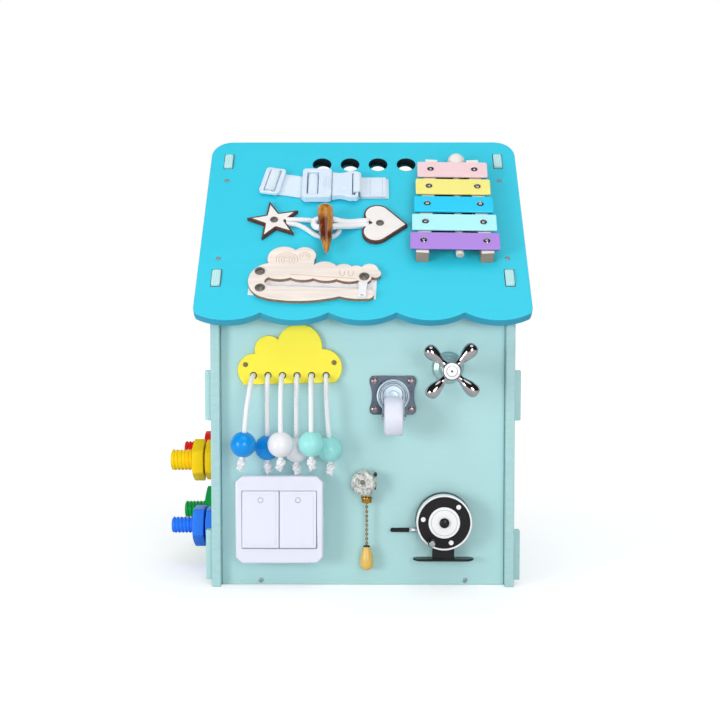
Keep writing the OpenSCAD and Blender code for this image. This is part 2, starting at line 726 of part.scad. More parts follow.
module tap_spindle() color("#b7bcc2") wall_at(tap_at) {
    translate([0, 0, -board_t - 6]) cylinder(h = tap_reach + board_t + 4, d = tap_spindle_d);
    translate([0, 0, -board_t - 4]) cylinder(h = 4, r = tap_spindle_d / 2 + 4, $fn = 6);
}

module tap_arm_shape() {
    r = tap_bulb_d / 2;
    rotate_extrude() union() {
        polygon([[0, 6], [3.4, 6], [3, 13], [3.4, 16], [r - 0.2, tap_arm - 1], [0, tap_arm - 1]]);
        disk_part([0, tap_arm], r, [0, tap_arm - r], [r, tap_arm + r]);
    }
}

module tap_handle() color("#c9ccd1") wall_at(tap_at) difference() {
    union() {
        translate([0, 0, tap_reach - 12]) cylinder(h = 16, r = tap_hub_r);
        translate([0, 0, tap_reach - 18]) cylinder(h = 7, d1 = tap_spindle_d + 4, d2 = 2 * tap_hub_r);
        translate([0, 0, tap_reach]) for (k = [0:3]) rotate(tap_turn + 90 * k) rotate([0, 90, 0])
            tap_arm_shape();
    }
    translate([0, 0, tap_reach - 30]) cylinder(h = 28.5, d = tap_spindle_d + 2 * run_gap);
    translate([0, 0, tap_reach + 3]) cylinder(h = 4, r = tap_cap_r + run_gap);
}

module tap_cap() color("#f4f4f6") wall_at(tap_at, tap_reach + 3) {
    cylinder(h = 1.6, r = tap_cap_r);
    translate([0, 0, 1.6]) cylinder(h = 0.8, r1 = tap_cap_r, r2 = tap_cap_r - 1.4);
}

// ---------------------------------------------------------------- pull switch

module pull_switch() color("#cfd3d6") on_wall() difference() {
    union() {
        translate([pull_at[0], pull_at[1], 0]) cylinder(h = pull_body_t - 2, d = pull_body_d);
        translate([pull_at[0], pull_at[1], pull_body_t - 2])
            cylinder(h = 2, d1 = pull_body_d, d2 = pull_body_d - 5);
        translate([chain_x, nut_z[1], chain_out]) rotate([-90, 0, 0]) cylinder(h = 10, r = 4.8);
    }
    translate([chain_x, nut_z[1] - past, chain_out]) rotate([-90, 0, 0])
        cylinder(h = 14, r = chain_bore_r);
}

module pull_switch_nut() color("#c08a3a")
    translate([chain_x, -wall_y - chain_out, nut_z[0]]) difference() {
        union() {
            cylinder(h = nut_z[1] - nut_z[0], r = 5);
            translate([0, 0, 3.6]) cylinder(h = 1.8, r = 5.7);
        }
        translate([0, 0, -past]) cylinder(h = 12, r = chain_bore_r);
    }

module bead_chain() color("#c9a24a") translate([chain_x, -wall_y - chain_out, 0]) {
    translate([0, 0, chain_end]) cylinder(h = chain_top - chain_end, r = 0.6);
    for (z = [chain_end:chain_pitch:chain_top]) translate([0, 0, z]) sphere(d = chain_ball_d);
}

module chain_pull() color("#eec46a") translate([chain_x, -wall_y - chain_out, chain_end])
    difference() {
        rotate_extrude() polygon([[0, -22.2], [2.6, -22], [5, -20.6], [pull_d / 2, -16.5],
            [pull_d / 2, -12], [pull_d / 2 - 1, -6], [4, -0.5], [3.4, 2], [0, 2]]);
        translate([0, 0, -2]) cylinder(h = 6, r = chain_ball_d / 2 + 0.4);
    }

// ---------------------------------------------------------------- line reel

spool_out = reel_base + reel_flange_t + 0.5;

module reel_frame() color("#23262b") wall_at(reel_at) {
    cylinder(h = reel_base, d = reel_d - 12);
    translate([0, 0, reel_base]) cylinder(h = reel_flange_t, d = reel_d);
    cylinder(h = spool_out + spool_t + 1, d = reel_axle_d);
    translate([0, 0, spool_out + spool_t + face_gap]) cylinder(h = 2.4, d1 = 9.6, d2 = 7);
    translate([-10.8, -39, reel_base]) cube([21.6, 17, reel_flange_t]);
    translate([0, -39.7, reel_base + 4.5]) rotate([90, 0, 0]) linear_extrude(3.4, center = true)
        round_rect(reel_foot_l, 13, 6);
}

module reel_spool() color("#2c2830") wall_at(reel_at, spool_out) {
    difference() {
        union() {
            cylinder(h = spool_t - 0.6, d = spool_d);
            translate([0, 0, spool_t - 0.6]) difference() {
                cylinder(h = 0.6, d = spool_d);
                cylinder(h = 2, d = spool_d - 4);
            }
            cylinder(h = spool_t, r = 15.4);
            for (a = [47.8, 171, 289]) rotate(a) translate([20.8, 0, 0]) cylinder(h = spool_t, r = 2.4);
            rotate(knob_angle) translate([knob_at, 0, 0]) {
                cylinder(h = spool_t + knob_l + 0.5, r = knob_pin_r);
                translate([0, 0, spool_t + knob_l + 0.2]) cylinder(h = 1.2, r = 2.9);
            }
        }
        translate([0, 0, -past]) cylinder(h = spool_t + 3, d = reel_axle_d + 2 * run_gap);
    }
}

module reel_knob() color("#1c1d20") wall_at(reel_at, spool_out + spool_t) rotate(knob_angle)
    translate([knob_at, 0, 0]) difference() {
        rotate_extrude() polygon([[0, 0], [2.6, 0], [2.8, 3], [knob_r, 6], [knob_r, knob_l - 1],
            [knob_r - 1, knob_l], [0, knob_l]]);
        translate([0, 0, -past]) cylinder(h = knob_l + 3, r = knob_pin_r + run_gap);
    }

module reel_guide() color("#2a2d31") wall_at([reel_at[0] - 23, reel_at[1] - 10], reel_base + 3)
    rotate([0, -90, 0]) {
        cylinder(h = 11, r = 2.5);
        translate([0, 0, 11]) cylinder(h = 17, r = 2.2);
        translate([0, 0, 28]) cylinder(h = 1.4, r1 = 2.2, r2 = 1);
    }

// ---------------------------------------------------------------- strap and buckle

web_mid = web_lift + web_t / 2;
slot_c = bar_d / 2 + bar_slot / 2;
slider_t = 3.4;
web_over = frame_lift + slider_t + 0.3 + web_t / 2;
bar_x = socket_x[0] + 5 + bar_slot + bar_d / 2;

module strap_turned() translate([bar_x, -socket_s, 0]) rotate(strap_turn) children();

slider_d = norm([slider_at[0] - bar_x, slider_at[1] - socket_s]);

module strap_slider() color("#bcd9f2") on_roof() strap_turned() translate([-slider_d, 0, frame_lift])
    linear_extrude(slider_t) difference() {
        round_rect(slider_size[0], slider_size[1], 4);
        for (m = [-1, 1]) translate([m * slot_c, 0]) square([bar_slot, web_w + 1], center = true);
    }

// Left webbing: through the slider, along the roof, and over the socket's bar
module left_strap() color("#cfe3f5") on_roof() {
    strap_turned() ribbon([[-slider_d - 10, web_mid], [-slider_d - slot_c, web_mid],
        [-slider_d - slot_c, web_over], [-slider_d + slot_c, web_over],
        [-slider_d + slot_c, web_mid], [-10, web_mid]], web_t, web_w);
    translate([bar_x, -socket_s, 0]) ribbon([[-12.5, web_mid], [slot_c, web_mid],
        [slot_c, web_over + 1.2], [-slot_c, web_over + 1.2], [-slot_c, web_mid + web_t + 0.8]],
        web_t, web_w);
}

module buckle_socket() color("#bcd6f0") on_roof() translate([0, -socket_s, frame_lift]) difference() {
    linear_extrude(socket_t) translate([(socket_x[0] + socket_x[1]) / 2, 0])
        round_rect(socket_x[1] - socket_x[0], socket_w, 4);
    translate([bar_x - bar_d / 2 - bar_slot, -web_w / 2 - 0.8, -past])
        cube([bar_slot, web_w + 1.6, socket_t + 2]);
    translate([bar_x + bar_d / 2, -web_w / 2 - 0.8, -past])
        cube([bar_slot, web_w + 1.6, socket_t + 2]);
    translate([bar_x - bar_d / 2 - past, -web_w / 2 - 0.8, 4.2])
        cube([bar_d + 2 * past, web_w + 1.6, socket_t]);
    translate([bar_x + bar_d / 2 + bar_slot + 2, -17.5, 2])
        cube([40, 35, socket_t - 4]);
}

plug_x = socket_x[1] + face_gap;

module buckle_plug() color("#c4dcf3") on_roof() translate([plug_x, -plug_s, frame_lift]) difference() {
    union() {
        linear_extrude(socket_t - 1) difference() {
            translate([14, 0]) round_rect(28, 39.4, 3);
            for (m = [-1, 1]) translate([8, m * 34]) circle(17.2);
        }
        for (y = [-13, -2.5, 8]) translate([-9, y, 2.3]) cube([10, 5, socket_t - 4.6]);
    }
    translate([28 - 3.4 - bar_slot, -web_w / 2 - 0.8, -past])
        cube([bar_slot, web_w + 1.6, socket_t + 2]);
}

plug_slot = plug_x + 28 - 3.4 - bar_slot / 2;

// Right webbing: looped round the plug's bar and sewn back on itself
module right_strap() color("#cfe3f5") on_roof() translate([0, -right_web_s, 0])
    ribbon([[right_web_end, web_mid], [plug_slot, web_mid], [plug_slot, frame_lift + socket_t + 0.2],
        [plug_slot + 7.2, frame_lift + socket_t + 0.2], [plug_slot + 7.2, web_mid + web_t + 0.4],
        [right_web_end - 3, web_mid + web_t + 0.4]], web_t, right_web_w);

// ---------------------------------------------------------------- star, heart and toggle

module star() color("#f7f1ec") roof_at(star_at) rotate(star_turn) difference() {
    linear_extrude(charm_t) polygon([for (k = [0:9])
        (k % 2 == 0 ? star_r : star_r * star_inner) * [cos(k * 36), sin(k * 36)]]);
    translate([0, 0, -past]) cylinder(h = charm_t + 2 * past, d = pan_shank_d + 2 * screw_clear);
}

module heart() color("#f7f1ec") roof_at(heart_at) rotate(heart_turn) difference() {
    linear_extrude(charm_t) {
        for (m = [-1, 1]) disk_to_point([0, m * heart_apart], heart_r, [heart_l, 0]);
        polygon([[0, heart_apart], [heart_l, 0], [0, -heart_apart]]);
    }
    translate([3.4, 0, -past]) cylinder(h = charm_t + 2 * past, d = pan_shank_d + 2 * screw_clear);
}

module toggle() color("#8a4a14") roof_at(toggle_at, toggle_lift) rotate(toggle_turn) difference() {
    rotate([90, 0, 0]) rotate_extrude() polygon([for (p = toggle_profile)
        [p[0] * toggle_r / 8, p[1] * toggle_l / 70]]);
    for (s = toggle_holes) translate([0, -s, 0]) rotate([0, 90, 0])
        cylinder(h = 40, d = toggle_cord_d + 2 * face_gap, center = true);
}

function on_slope(route) = [for (p = route) [p[0], -p[1], p[2]]];
function same(n, r) = [for (i = [1:n]) r];

module loop_cord() color("#f5f7fa") on_roof()
    swept_tube(on_slope(route_loop), same(len(route_loop), loop_d / 2), cord_sides);

module toggle_cord() color("#f5f7fa") on_roof()
    swept_tube(on_slope(route_toggle), same(len(route_toggle), toggle_cord_d / 2), cord_sides);

// ---------------------------------------------------------------- crocodile and zip

module croc_place(h) roof_at(croc_at, h) rotate(croc_turn) children();

module croc_back() {
    translate([-32.5, 29]) circle(16.2);
    translate([-12.2, 33.3]) circle(11.9);
    translate([-44, 10]) square([42.5, 20]);
    disk_part([9.5, 11.5], 15, [-2, 8], [21.7, 30]);
    disk_part([28.5, 13.4], 10.7, [21.5, 8], [35.5, 30]);
    disk_part([40.5, 13.4], 9, [35.3, 8], [46, 30]);
}

module croc_snout() {
    translate([54, 16.4]) circle(9);
    translate([60.2, 12.5]) circle(5.5);
    translate([49.1, 7.4]) circle(7.3);
}

module croc_upper() {
    translate([-48, teeth_edge]) square([96, 14]);
    translate([-46.4, teeth_edge]) arc_row(4, teeth_pitch, teeth_depth);
}

module croc_lower() {
    disk_part([-20, 113.1], 140, [-46, -30], [26.4, jaw_edge]);
    disk_part([43, 38.5], 60, [26, -30], [53.5, jaw_edge]);
    translate([53.5, jaw_edge - 6.2]) circle(6.2);
}

module crocodile() color("#efdcc6") croc_place(tape_t) difference() {
    linear_extrude(croc_t) {
        difference() {
            translate([-41.4, -1]) circle(23.5);
            translate([-42.5, -2.5]) circle(6);
            translate([-42.5, -8.5]) square([30, 12]);
        }
        croc_back();
        croc_snout();
        croc_upper();
        croc_lower();
    }
    for (p = croc_screws) translate([p[0], p[1], -past])
        cylinder(h = croc_t + 2 * past, d = pan_shank_d + 2 * screw_clear);
}

module zip_tape() color("#f2f1f8") croc_place(0) difference() {
    union() {
        translate([-64, zip_v - tape_size[1] / 2, 0]) cube([tape_size[0], tape_size[1], tape_t]);
        translate([-46, zip_v - 2, 0]) cube([104, 4, tape_t + 1.1]);
    }
    for (p = croc_screws) translate([p[0], p[1], -past])
        cylinder(h = tape_t + 2 * past, d = pan_shank_d + 2 * screw_clear);
}

module zip_slider() color("#f4f4f6") croc_place(0) translate([zip_start, zip_v, 0]) {
    translate([-zip_half[0], -zip_half[1], tape_t + 1.4])
        cube([2 * zip_half[0], 2 * zip_half[1], croc_t - 0.6]);
    difference() {
        translate([-4, -16.6, tape_t + croc_t + face_gap]) cube([8, 15, 1.4]);
        translate([0, -14, tape_t + croc_t]) cylinder(h = 4, r = 1.6);
    }
}

// ---------------------------------------------------------------- xylophone

module xylo_place(h) roof_at(xylo_at, h) rotate(xylo_turn) children();

function screw_x(i) = screw_half + i * screw_step;

module xylophone_rails() color("#f3f1ee") xylo_place(0) for (m = [0, 1]) mirror([m, 0, 0])
    linear_extrude(rail_h) translate([screw_half, 0]) rotate(rail_spread)
        translate([-rail_w / 2, rail_end]) square([rail_w, rail_top - rail_end]);

module xylophone_bars() xylo_place(rail_h) for (i = [0:bars - 1])
    color(["#f8cdd7", "#ffee8c", "#2fcfff", "#aaf5fa", "#b482e8"][i]) translate([0, -i * bar_pitch, 0])
        difference() {
            linear_extrude(bar_t) round_rect(bar_l + i * bar_step, bar_w, 1.5);
            for (m = [-1, 1]) translate([m * screw_x(i), 0, -past])
                cylinder(h = bar_t + 2 * past, d = pan_shank_d + 2 * screw_clear);
        }

module mallet() color("#e9e2d6") xylo_place(mallet_h)
    translate([mallet_u, bar_w / 2 + sqrt(pow(mallet_r, 2) - pow(rail_h - mallet_h, 2)) + face_gap, 0]) {
        sphere(r = mallet_r);
        rotate([90, 0, 0]) cylinder(h = 138, r = stick_r);
    }

// Pan screws of the crocodile, star, heart, caster plate and bars
module pan_screws() color("#a7a29c") {
    for (p = croc_screws) croc_place(tape_t + croc_t) translate([p[0], p[1], 0])
        screw(pan_head_d, pan_shank_d, croc_t + tape_t + 7);
    roof_at(star_at, charm_t) screw(8, pan_shank_d, charm_t + 7);
    roof_at(heart_at, charm_t) rotate(heart_turn) translate([3.4, 0, 0]) screw(8, pan_shank_d, charm_t + 7);
    for (x = [-1, 1]) for (y = [-1, 1])
        wall_at([caster_at[0] + x * caster_screws[0], caster_at[1] + y * caster_screws[1]], caster_plate_t)
            screw(bar_head_d - 0.6, pan_shank_d, caster_plate_t + 7);
    for (i = [0:bars - 1]) for (m = [-1, 1]) xylo_place(rail_h + bar_t)
        translate([m * screw_x(i), -i * bar_pitch, 0]) screw(bar_head_d, pan_shank_d, bar_t + 9);
}

// ---------------------------------------------------------------- toy bolts and nuts

// Prism with n sides whose outer edge is bevelled
module bevelled_prism(n, r, t) {
    turn = n == 5 ? 180 : 90;
    intersection() {
        rotate(turn) cylinder(h = t, r = r, $fn = n > 12 ? 64 : n);
        union() {
            cylinder(h = 0.55 * t, r = r + past);
            translate([0, 0, 0.55 * t]) cylinder(h = 0.45 * t, r1 = r, r2 = 0.86 * r);
        }
    }
}

module bolt_place(b, out) on_left() translate([bolt_x - b[3] * bolt_pitch, bolt_z[b[4]], out]) children();

module toy_bolt(b) {
    bolt_place(b, 0) bevelled_prism(b[0], head_share * b[1], bolt_head_t);
    bolt_place(b, bolt_head_t - past) cylinder(h = bolt_reach - bolt_head_t - 1, r = b[2]);
    bolt_place(b, bolt_reach - 2) cylinder(h = 2, r1 = b[2], r2 = b[2] - 2);
}

module toy_bolts() {
    color("#ffd400") toy_bolt(bolt_yellow);
    color("#e02020") toy_bolt(bolt_red);
    color("#0f9a3c") toy_bolt(bolt_green);
    color("#2f78e8") toy_bolt(bolt_blue);
}

module toy_nut(b) bolt_place(b, bolt_head_t + nut_face_gap) difference() {
    bevelled_prism(b[0], b[1], nut_t);
    translate([0, 0, -past]) cylinder(h = nut_t + 2 * past, r = b[2] + nut_fit);
}

module nut_yellow() color("#ffd400") toy_nut(bolt_yellow);

module nut_red() color("#e02020") toy_nut(bolt_red);

module nut_green() color("#0f9a3c") toy_nut(bolt_green);

module nut_blue() color("#2f78e8") toy_nut(bolt_blue);

// ---------------------------------------------------------------- nodes

floor_board();
front_wall();
back_wall();
left_wall();
right_wall();
front_roof();
back_roof();
wood_screws();
cloud();
cord_blue();
cord_white();
cord_mint();
blue_bead_front();
blue_bead_rear();
white_bead_front();
white_bead_rear();
mint_bead_front();
mint_bead_rear();
switch_box();
switch_plate();
left_rocker();
right_rocker();
caster_plate();
caster_fork();
caster_wheel();
caster_axle();
tap_flange();
tap_spindle();
tap_handle();
tap_cap();
pull_switch();
pull_switch_nut();
bead_chain();
chain_pull();
reel_frame();
reel_spool();
reel_knob();
reel_guide();
left_strap();
strap_slider();
buckle_socket();
buckle_plug();
right_strap();
star();
heart();
toggle();
loop_cord();
toggle_cord();
crocodile();
zip_tape();
zip_slider();
pan_screws();
xylophone_rails();
xylophone_bars();
mallet();
toy_bolts();
nut_yellow();
nut_red();
nut_green();
nut_blue();
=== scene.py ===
"""Visual model of a house-shaped wooden busy board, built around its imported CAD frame."""

import json
import math

import bmesh
import bpy
import numpy as np
from bpy.props import FloatProperty, FloatVectorProperty, PointerProperty
from bpy.types import Operator, Panel, PropertyGroup
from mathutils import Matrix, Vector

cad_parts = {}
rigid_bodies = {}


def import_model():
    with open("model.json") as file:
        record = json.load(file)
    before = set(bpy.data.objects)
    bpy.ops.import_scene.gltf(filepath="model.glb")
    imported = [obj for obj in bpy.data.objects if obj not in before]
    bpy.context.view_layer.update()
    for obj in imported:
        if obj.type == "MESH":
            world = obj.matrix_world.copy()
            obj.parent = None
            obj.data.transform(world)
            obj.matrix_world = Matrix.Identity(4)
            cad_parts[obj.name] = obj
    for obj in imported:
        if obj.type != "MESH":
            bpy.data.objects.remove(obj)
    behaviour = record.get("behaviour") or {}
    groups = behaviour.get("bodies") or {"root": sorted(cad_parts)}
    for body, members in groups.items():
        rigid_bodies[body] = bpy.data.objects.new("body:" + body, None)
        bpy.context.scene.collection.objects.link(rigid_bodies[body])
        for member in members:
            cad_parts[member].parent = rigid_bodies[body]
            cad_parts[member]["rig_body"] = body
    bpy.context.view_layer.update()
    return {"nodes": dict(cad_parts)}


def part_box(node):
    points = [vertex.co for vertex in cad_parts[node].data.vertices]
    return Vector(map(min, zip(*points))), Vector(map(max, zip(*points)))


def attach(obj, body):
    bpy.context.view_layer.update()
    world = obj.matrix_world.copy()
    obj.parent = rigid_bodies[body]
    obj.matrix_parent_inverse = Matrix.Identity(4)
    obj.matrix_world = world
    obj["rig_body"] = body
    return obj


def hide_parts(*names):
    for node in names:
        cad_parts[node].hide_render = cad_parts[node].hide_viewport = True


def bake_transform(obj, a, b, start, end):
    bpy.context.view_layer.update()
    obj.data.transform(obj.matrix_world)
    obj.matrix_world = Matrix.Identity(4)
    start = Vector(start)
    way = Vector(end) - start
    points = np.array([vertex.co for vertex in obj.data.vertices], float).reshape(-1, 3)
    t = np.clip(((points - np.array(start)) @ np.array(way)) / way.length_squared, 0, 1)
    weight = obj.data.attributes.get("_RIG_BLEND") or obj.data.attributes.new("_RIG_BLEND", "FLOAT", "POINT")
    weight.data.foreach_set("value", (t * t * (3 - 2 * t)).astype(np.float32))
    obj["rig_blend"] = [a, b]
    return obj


bl_info = {
    "name": "Wooden Busy Board",
    "version": (1, 0, 0),
    "blender": (4, 2, 0),
    "location": "View3D > Sidebar > Busy Board",
    "description": "Builds a house-shaped activity cube with its play fittings",
    "category": "Add Mesh",
}

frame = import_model()

# Shapes are worked out in millimetres and go into their meshes in metres. The stage and the
# materials are in metres.
MM = 0.001
FULL = 2 * math.pi

# Pitch of the roof, height of its ridge, and the outer faces of the front and left walls
SLOPE = math.radians(48.2)
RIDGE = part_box("front_roof")[1].z / MM
WALL_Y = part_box("front_wall")[0].y / MM
SIDE_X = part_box("left_wall")[0].x / MM
# Thickness of the boards, and how far the side walls' middle planes are from the house's middle
BOARD = 9
SIDE_MIDDLE = -SIDE_X - BOARD / 2

# Centres of the fittings: across and up the front wall
SWITCH_AT = (-81.6, 70.1)
CASTER_AT = (29.9, 190.5)
TAP_AT = (84.3, 217.9)
PULL_SWITCH_AT = (1.2, 104.6)
REEL_AT = (79.8, 67.2)
# Across and down the roof from the ridge, a turn in degrees, and the way from bar to bar
BARS_AT, BARS_TURN, BAR_STEP = (94.2, 63), -1.1, 26.2
CROCODILE_AT, CROCODILE_TURN = (-48, 212), -2.6

# Corners of a square, in turn
SQUARE = ((-1, -1), (1, -1), (1, 1), (-1, 1))

# Axes that the boards' faces look along
FRONT_AXIS = (0, -1, 0)
SIDE_AXIS = (1, 0, 0)
ROOF_AXIS = (0, -math.sin(SLOPE), math.cos(SLOPE))
BACK_ROOF_AXIS = (0, math.sin(SLOPE), math.cos(SLOPE))


# ---------------------------------------------------------------- settings


def tint(code):
    """Linear colour of a hex code of 8-bit red, green and blue."""
    c = np.array([int(code[i : i + 2], 16) for i in (0, 2, 4)]) / 255
    return tuple(np.where(c < 0.04045, c / 12.92, ((c + 0.055) / 1.055) ** 2.4).tolist())


def length(name, description, value):
    """Length property with its default in millimetres."""
    return FloatProperty(
        name=name, description=description, default=value * MM, min=0, unit="LENGTH", precision=5
    )


def colour(name, description, code):
    """Colour property with its default as a hex code."""
    return FloatVectorProperty(
        name=name, description=description, default=tint(code), min=0, max=1, subtype="COLOR"
    )


class BusyBoardSizes(PropertyGroup):
    """Small sizes that the finish adds to the frame."""

    board_edge: length("Board edge", "Rounding of the edges of the house boards", 0.9)
    fitting_edge: length("Fitting edge", "Rounding of the edges of small fittings", 0.5)
    plate_edge: length("Switch edge", "Rounding of the switch plate's front edges", 2.2)
    bead: length("Bead", "Diameter of a bead", 25)
    bead_bore: length("Bead bore", "Diameter of the hole through a bead", 5.6)
    cord: length("Cord", "Diameter of a bead cord", 4.8)
    loop: length("Elastic loop", "Diameter of the star's elastic loop", 5)
    toggle_cord: length("Toggle cord", "Diameter of the toggle's own cord", 6.4)
    webbing: length("Webbing", "Thickness of the strap's webbing", 1.5)
    burnt_line: length("Burnt border", "Width of the burnt border on star and heart", 1.5)
    thread_pitch: length("Thread pitch", "Pitch of the toy bolts' threads", 3.8)
    thread_depth: length("Thread depth", "Depth of the toy bolts' threads", 1.15)


class BusyBoardColours(PropertyGroup):
    """Colours of the paints, plastics and fabrics."""

    wall: colour("Wall paint", "Paint of the walls", "b2dcdd")
    roof: colour("Roof paint", "Paint of the roof panels", "33d2ec")
    roof_edge: colour("Roof edge", "Sawn edge of the roof panels", "36abcc")
    cloud: colour("Cloud", "Paint of the cloud", "fcec42")
    cloud_edge: colour("Cloud edge", "Sawn edge of the cloud", "e3c63a")
    blue_bead: colour("Blue bead", "Lacquer of the blue beads", "0094ea")
    white_bead: colour("White bead", "Lacquer of the white beads", "f0f0f4")
    mint_bead: colour("Mint bead", "Lacquer of the mint beads", "9fe9e6")
    cord: colour("Cord", "Yarn of the cords", "f4f5f8")
    switch: colour("Switch", "Plastic of the switch", "e7e9f6")
    webbing: colour("Webbing", "Yarn of the webbing", "e4f2ff")
    buckle: colour("Buckle", "Plastic of the buckle", "e0efff")
    charm: colour("Charm", "Face of the star and heart", "f6f2ee")
    burnt: colour("Burnt edge", "Laser-burnt edges of star and heart", "6b3626")
    ply: colour("Plywood", "Bare wood of the crocodile", "faeee4")
    pull: colour("Pull", "Lacquer of the wooden pull", "e6bf64")
    bar_1: colour("Bar 1", "Enamel of the first bar", "fbd8dc")
    bar_2: colour("Bar 2", "Enamel of the second bar", "fdf287")
    bar_3: colour("Bar 3", "Enamel of the third bar", "00d2fd")
    bar_4: colour("Bar 4", "Enamel of the fourth bar", "b4f9ff")
    bar_5: colour("Bar 5", "Enamel of the fifth bar", "b286e4")
    toy_yellow: colour("Toy yellow", "Plastic of the yellow bolt and nut", "ffd200")
    toy_red: colour("Toy red", "Plastic of the red bolt and nut", "ee1d14")
    toy_green: colour("Toy green", "Plastic of the green bolt and nut", "04a84a")
    toy_blue: colour("Toy blue", "Plastic of the blue bolt and nut", "2a80fa")


def mm(name):
    """Value of a size setting in millimetres."""
    return getattr(bpy.context.scene.busy_sizes, name) / MM


def tone(name):
    """Value of a colour setting."""
    return tuple(getattr(bpy.context.scene.busy_colours, name))


def shade(c, factor):
    """Colour made lighter or darker by a factor."""
    return tuple(min(1.0, v * factor) for v in c)


# ---------------------------------------------------------------- places


def on_roof(p):
    """Points given across, down the slope from the ridge and out of the front roof panel."""
    x, s, h = np.moveaxis(np.asarray(p, float), -1, 0)
    y = -s * math.cos(SLOPE) - h * math.sin(SLOPE)
    return np.stack([x, y, RIDGE - s * math.sin(SLOPE) + h * math.cos(SLOPE)], -1)


def placed(kind, centre, out=0.0, turn=0.0):
    """Mapping of points (right, up, out) in a flat frame on the roof, front or left wall.

    The frame lies at centre, turned anticlockwise by turn degrees: right' = u cos - v sin,
    up' = u sin + v cos.
    """
    c, s = math.cos(math.radians(turn)), math.sin(math.radians(turn))

    def place(p):
        u, v, w = np.moveaxis(np.asarray(p, float), -1, 0)
        a, b, w = c * u - s * v, s * u + c * v, w + out
        if kind == "roof":
            return on_roof(np.stack([centre[0] + a, centre[1] - b, w], -1))
        if kind == "wall":
            return np.stack([centre[0] + a, WALL_Y - w, centre[1] + b], -1)
        return np.stack([SIDE_X - w, -centre[0] - a, centre[1] + b], -1)

    return place


def shifted(place, at, turn=0.0):
    """Mapping that moves and turns points inside another mapping's frame."""
    c, s = math.cos(math.radians(turn)), math.sin(math.radians(turn))
    matrix = np.array([[c, s, 0], [-s, c, 0], [0, 0, 1]])
    return lambda p: place(np.asarray(p, float) @ matrix + np.asarray(at, float))


def turned_back(place, rear=True):
    """Mapping that is mirrored to the back of the house if rear is true."""
    return (lambda p: place(p) * (1, -1, 1)) if rear else place


# ---------------------------------------------------------------- curves and sections


def points(*rows):
    """Points given as one row of numbers for each coordinate."""
    return np.array(rows, float).T


def rounded(outline, radius, steps=3, closed=False):
    """Outline with parabola arcs in its corners.

    Each arc starts and ends a radius away from its corner: (1-t)^2 a + 2 t (1-t) corner + t^2 b.
    """
    p = np.asarray(outline, float)

    def toward(q):
        d = q - p
        size = np.maximum(np.linalg.norm(d, axis=1, keepdims=True), 1e-9)
        return (p + d * np.minimum(radius, 0.47 * size) / size)[:, None]

    t = np.linspace(0, 1, steps + 1)[None, :, None]
    arcs = (1 - t) ** 2 * toward(np.roll(p, 1, 0)) + 2 * t * (1 - t) * p[:, None]
    arcs = arcs + t**2 * toward(np.roll(p, -1, 0))
    if closed:
        return arcs.reshape(-1, p.shape[1])
    return np.concatenate([p[:1], arcs[1:-1].reshape(-1, p.shape[1]), p[-1:]])


def smooth_path(points, per_span=4):
    """Catmull-Rom curve: each span is a cubic of its own two points and their neighbours."""
    p = np.asarray(points, float)
    p = np.concatenate([2 * p[:1] - p[1:2], p, 2 * p[-1:] - p[-2:-1]])
    a, b, c, d = (p[i : len(p) - 3 + i, None] for i in range(4))
    t = np.linspace(0, 1, per_span, endpoint=False)[None, :, None]
    q = 0.5 * (2 * b + (c - a) * t + (2 * a - 5 * b + 4 * c - d) * t**2)
    q = q + 0.5 * (3 * b - a - 3 * c + d) * t**3
    return np.concatenate([q.reshape(-1, p.shape[1]), p[-2:-1]])


def circle(n, start=0.0):
    """Angles of n even steps round a circle."""
    return start + np.arange(n) * FULL / n


def lathe(profile, sides=48, axis=2, at=(0, 0, 0)):
    """Surface of revolution: (radius, height) of the profile turned about an axis."""
    r, h = np.asarray(profile, float).T
    a = circle(sides)
    rings = [np.outer(r, np.cos(a)), np.outer(r, np.sin(a)), np.outer(h, np.ones(sides))]
    return np.roll(np.stack(rings, -1), axis - 2, axis=-1) + np.asarray(at, float)


def frames_along(path):
    """Tangents and two side directions along a path, each side direction carried without twist."""
    t = np.gradient(path, axis=0)
    t = t / np.linalg.norm(t, axis=1, keepdims=True)
    side = np.cross(t[0], [1, 0, 0] if abs(t[0][0]) < 0.9 else [0, 1, 0])
    sides = []
    for direction in t:
        side = side - direction * (side @ direction)
        side = side / np.linalg.norm(side)
        sides.append(side)
    sides = np.array(sides)
    return t, sides, np.cross(t, sides)


def tube(path, radius, sides=16):
    """Tube: path + r (side cos a + other sin a), r one number, one for each ring or a grid."""
    path = np.asarray(path, float)
    _, n, b = frames_along(path)
    a = circle(sides)[None, :, None]
    r = np.asarray(radius, float)
    r = r.reshape(len(r), -1, 1) if r.ndim else r
    return path[:, None] + r * (n[:, None] * np.cos(a) + b[:, None] * np.sin(a))


def capsule_rows(path, radius, sides=8):
    """Tube with rounded ends, its radius shrinking to nothing as a circle does."""
    path = np.asarray(path, float)
    first, last = path[1] - path[0], path[-1] - path[-2]
    turn = np.linspace(0, 1, 4)[:-1, None] * math.pi / 2
    head = path[0] - first / np.linalg.norm(first) * radius * np.cos(turn)
    tail = path[-1] + last / np.linalg.norm(last) * radius * np.cos(turn[::-1])
    sizes = np.sin(turn[:, 0]) * radius
    radii = np.concatenate([sizes, np.full(len(path), radius), sizes[::-1]])
    return tube(np.concatenate([head, path, tail]), radii, sides)


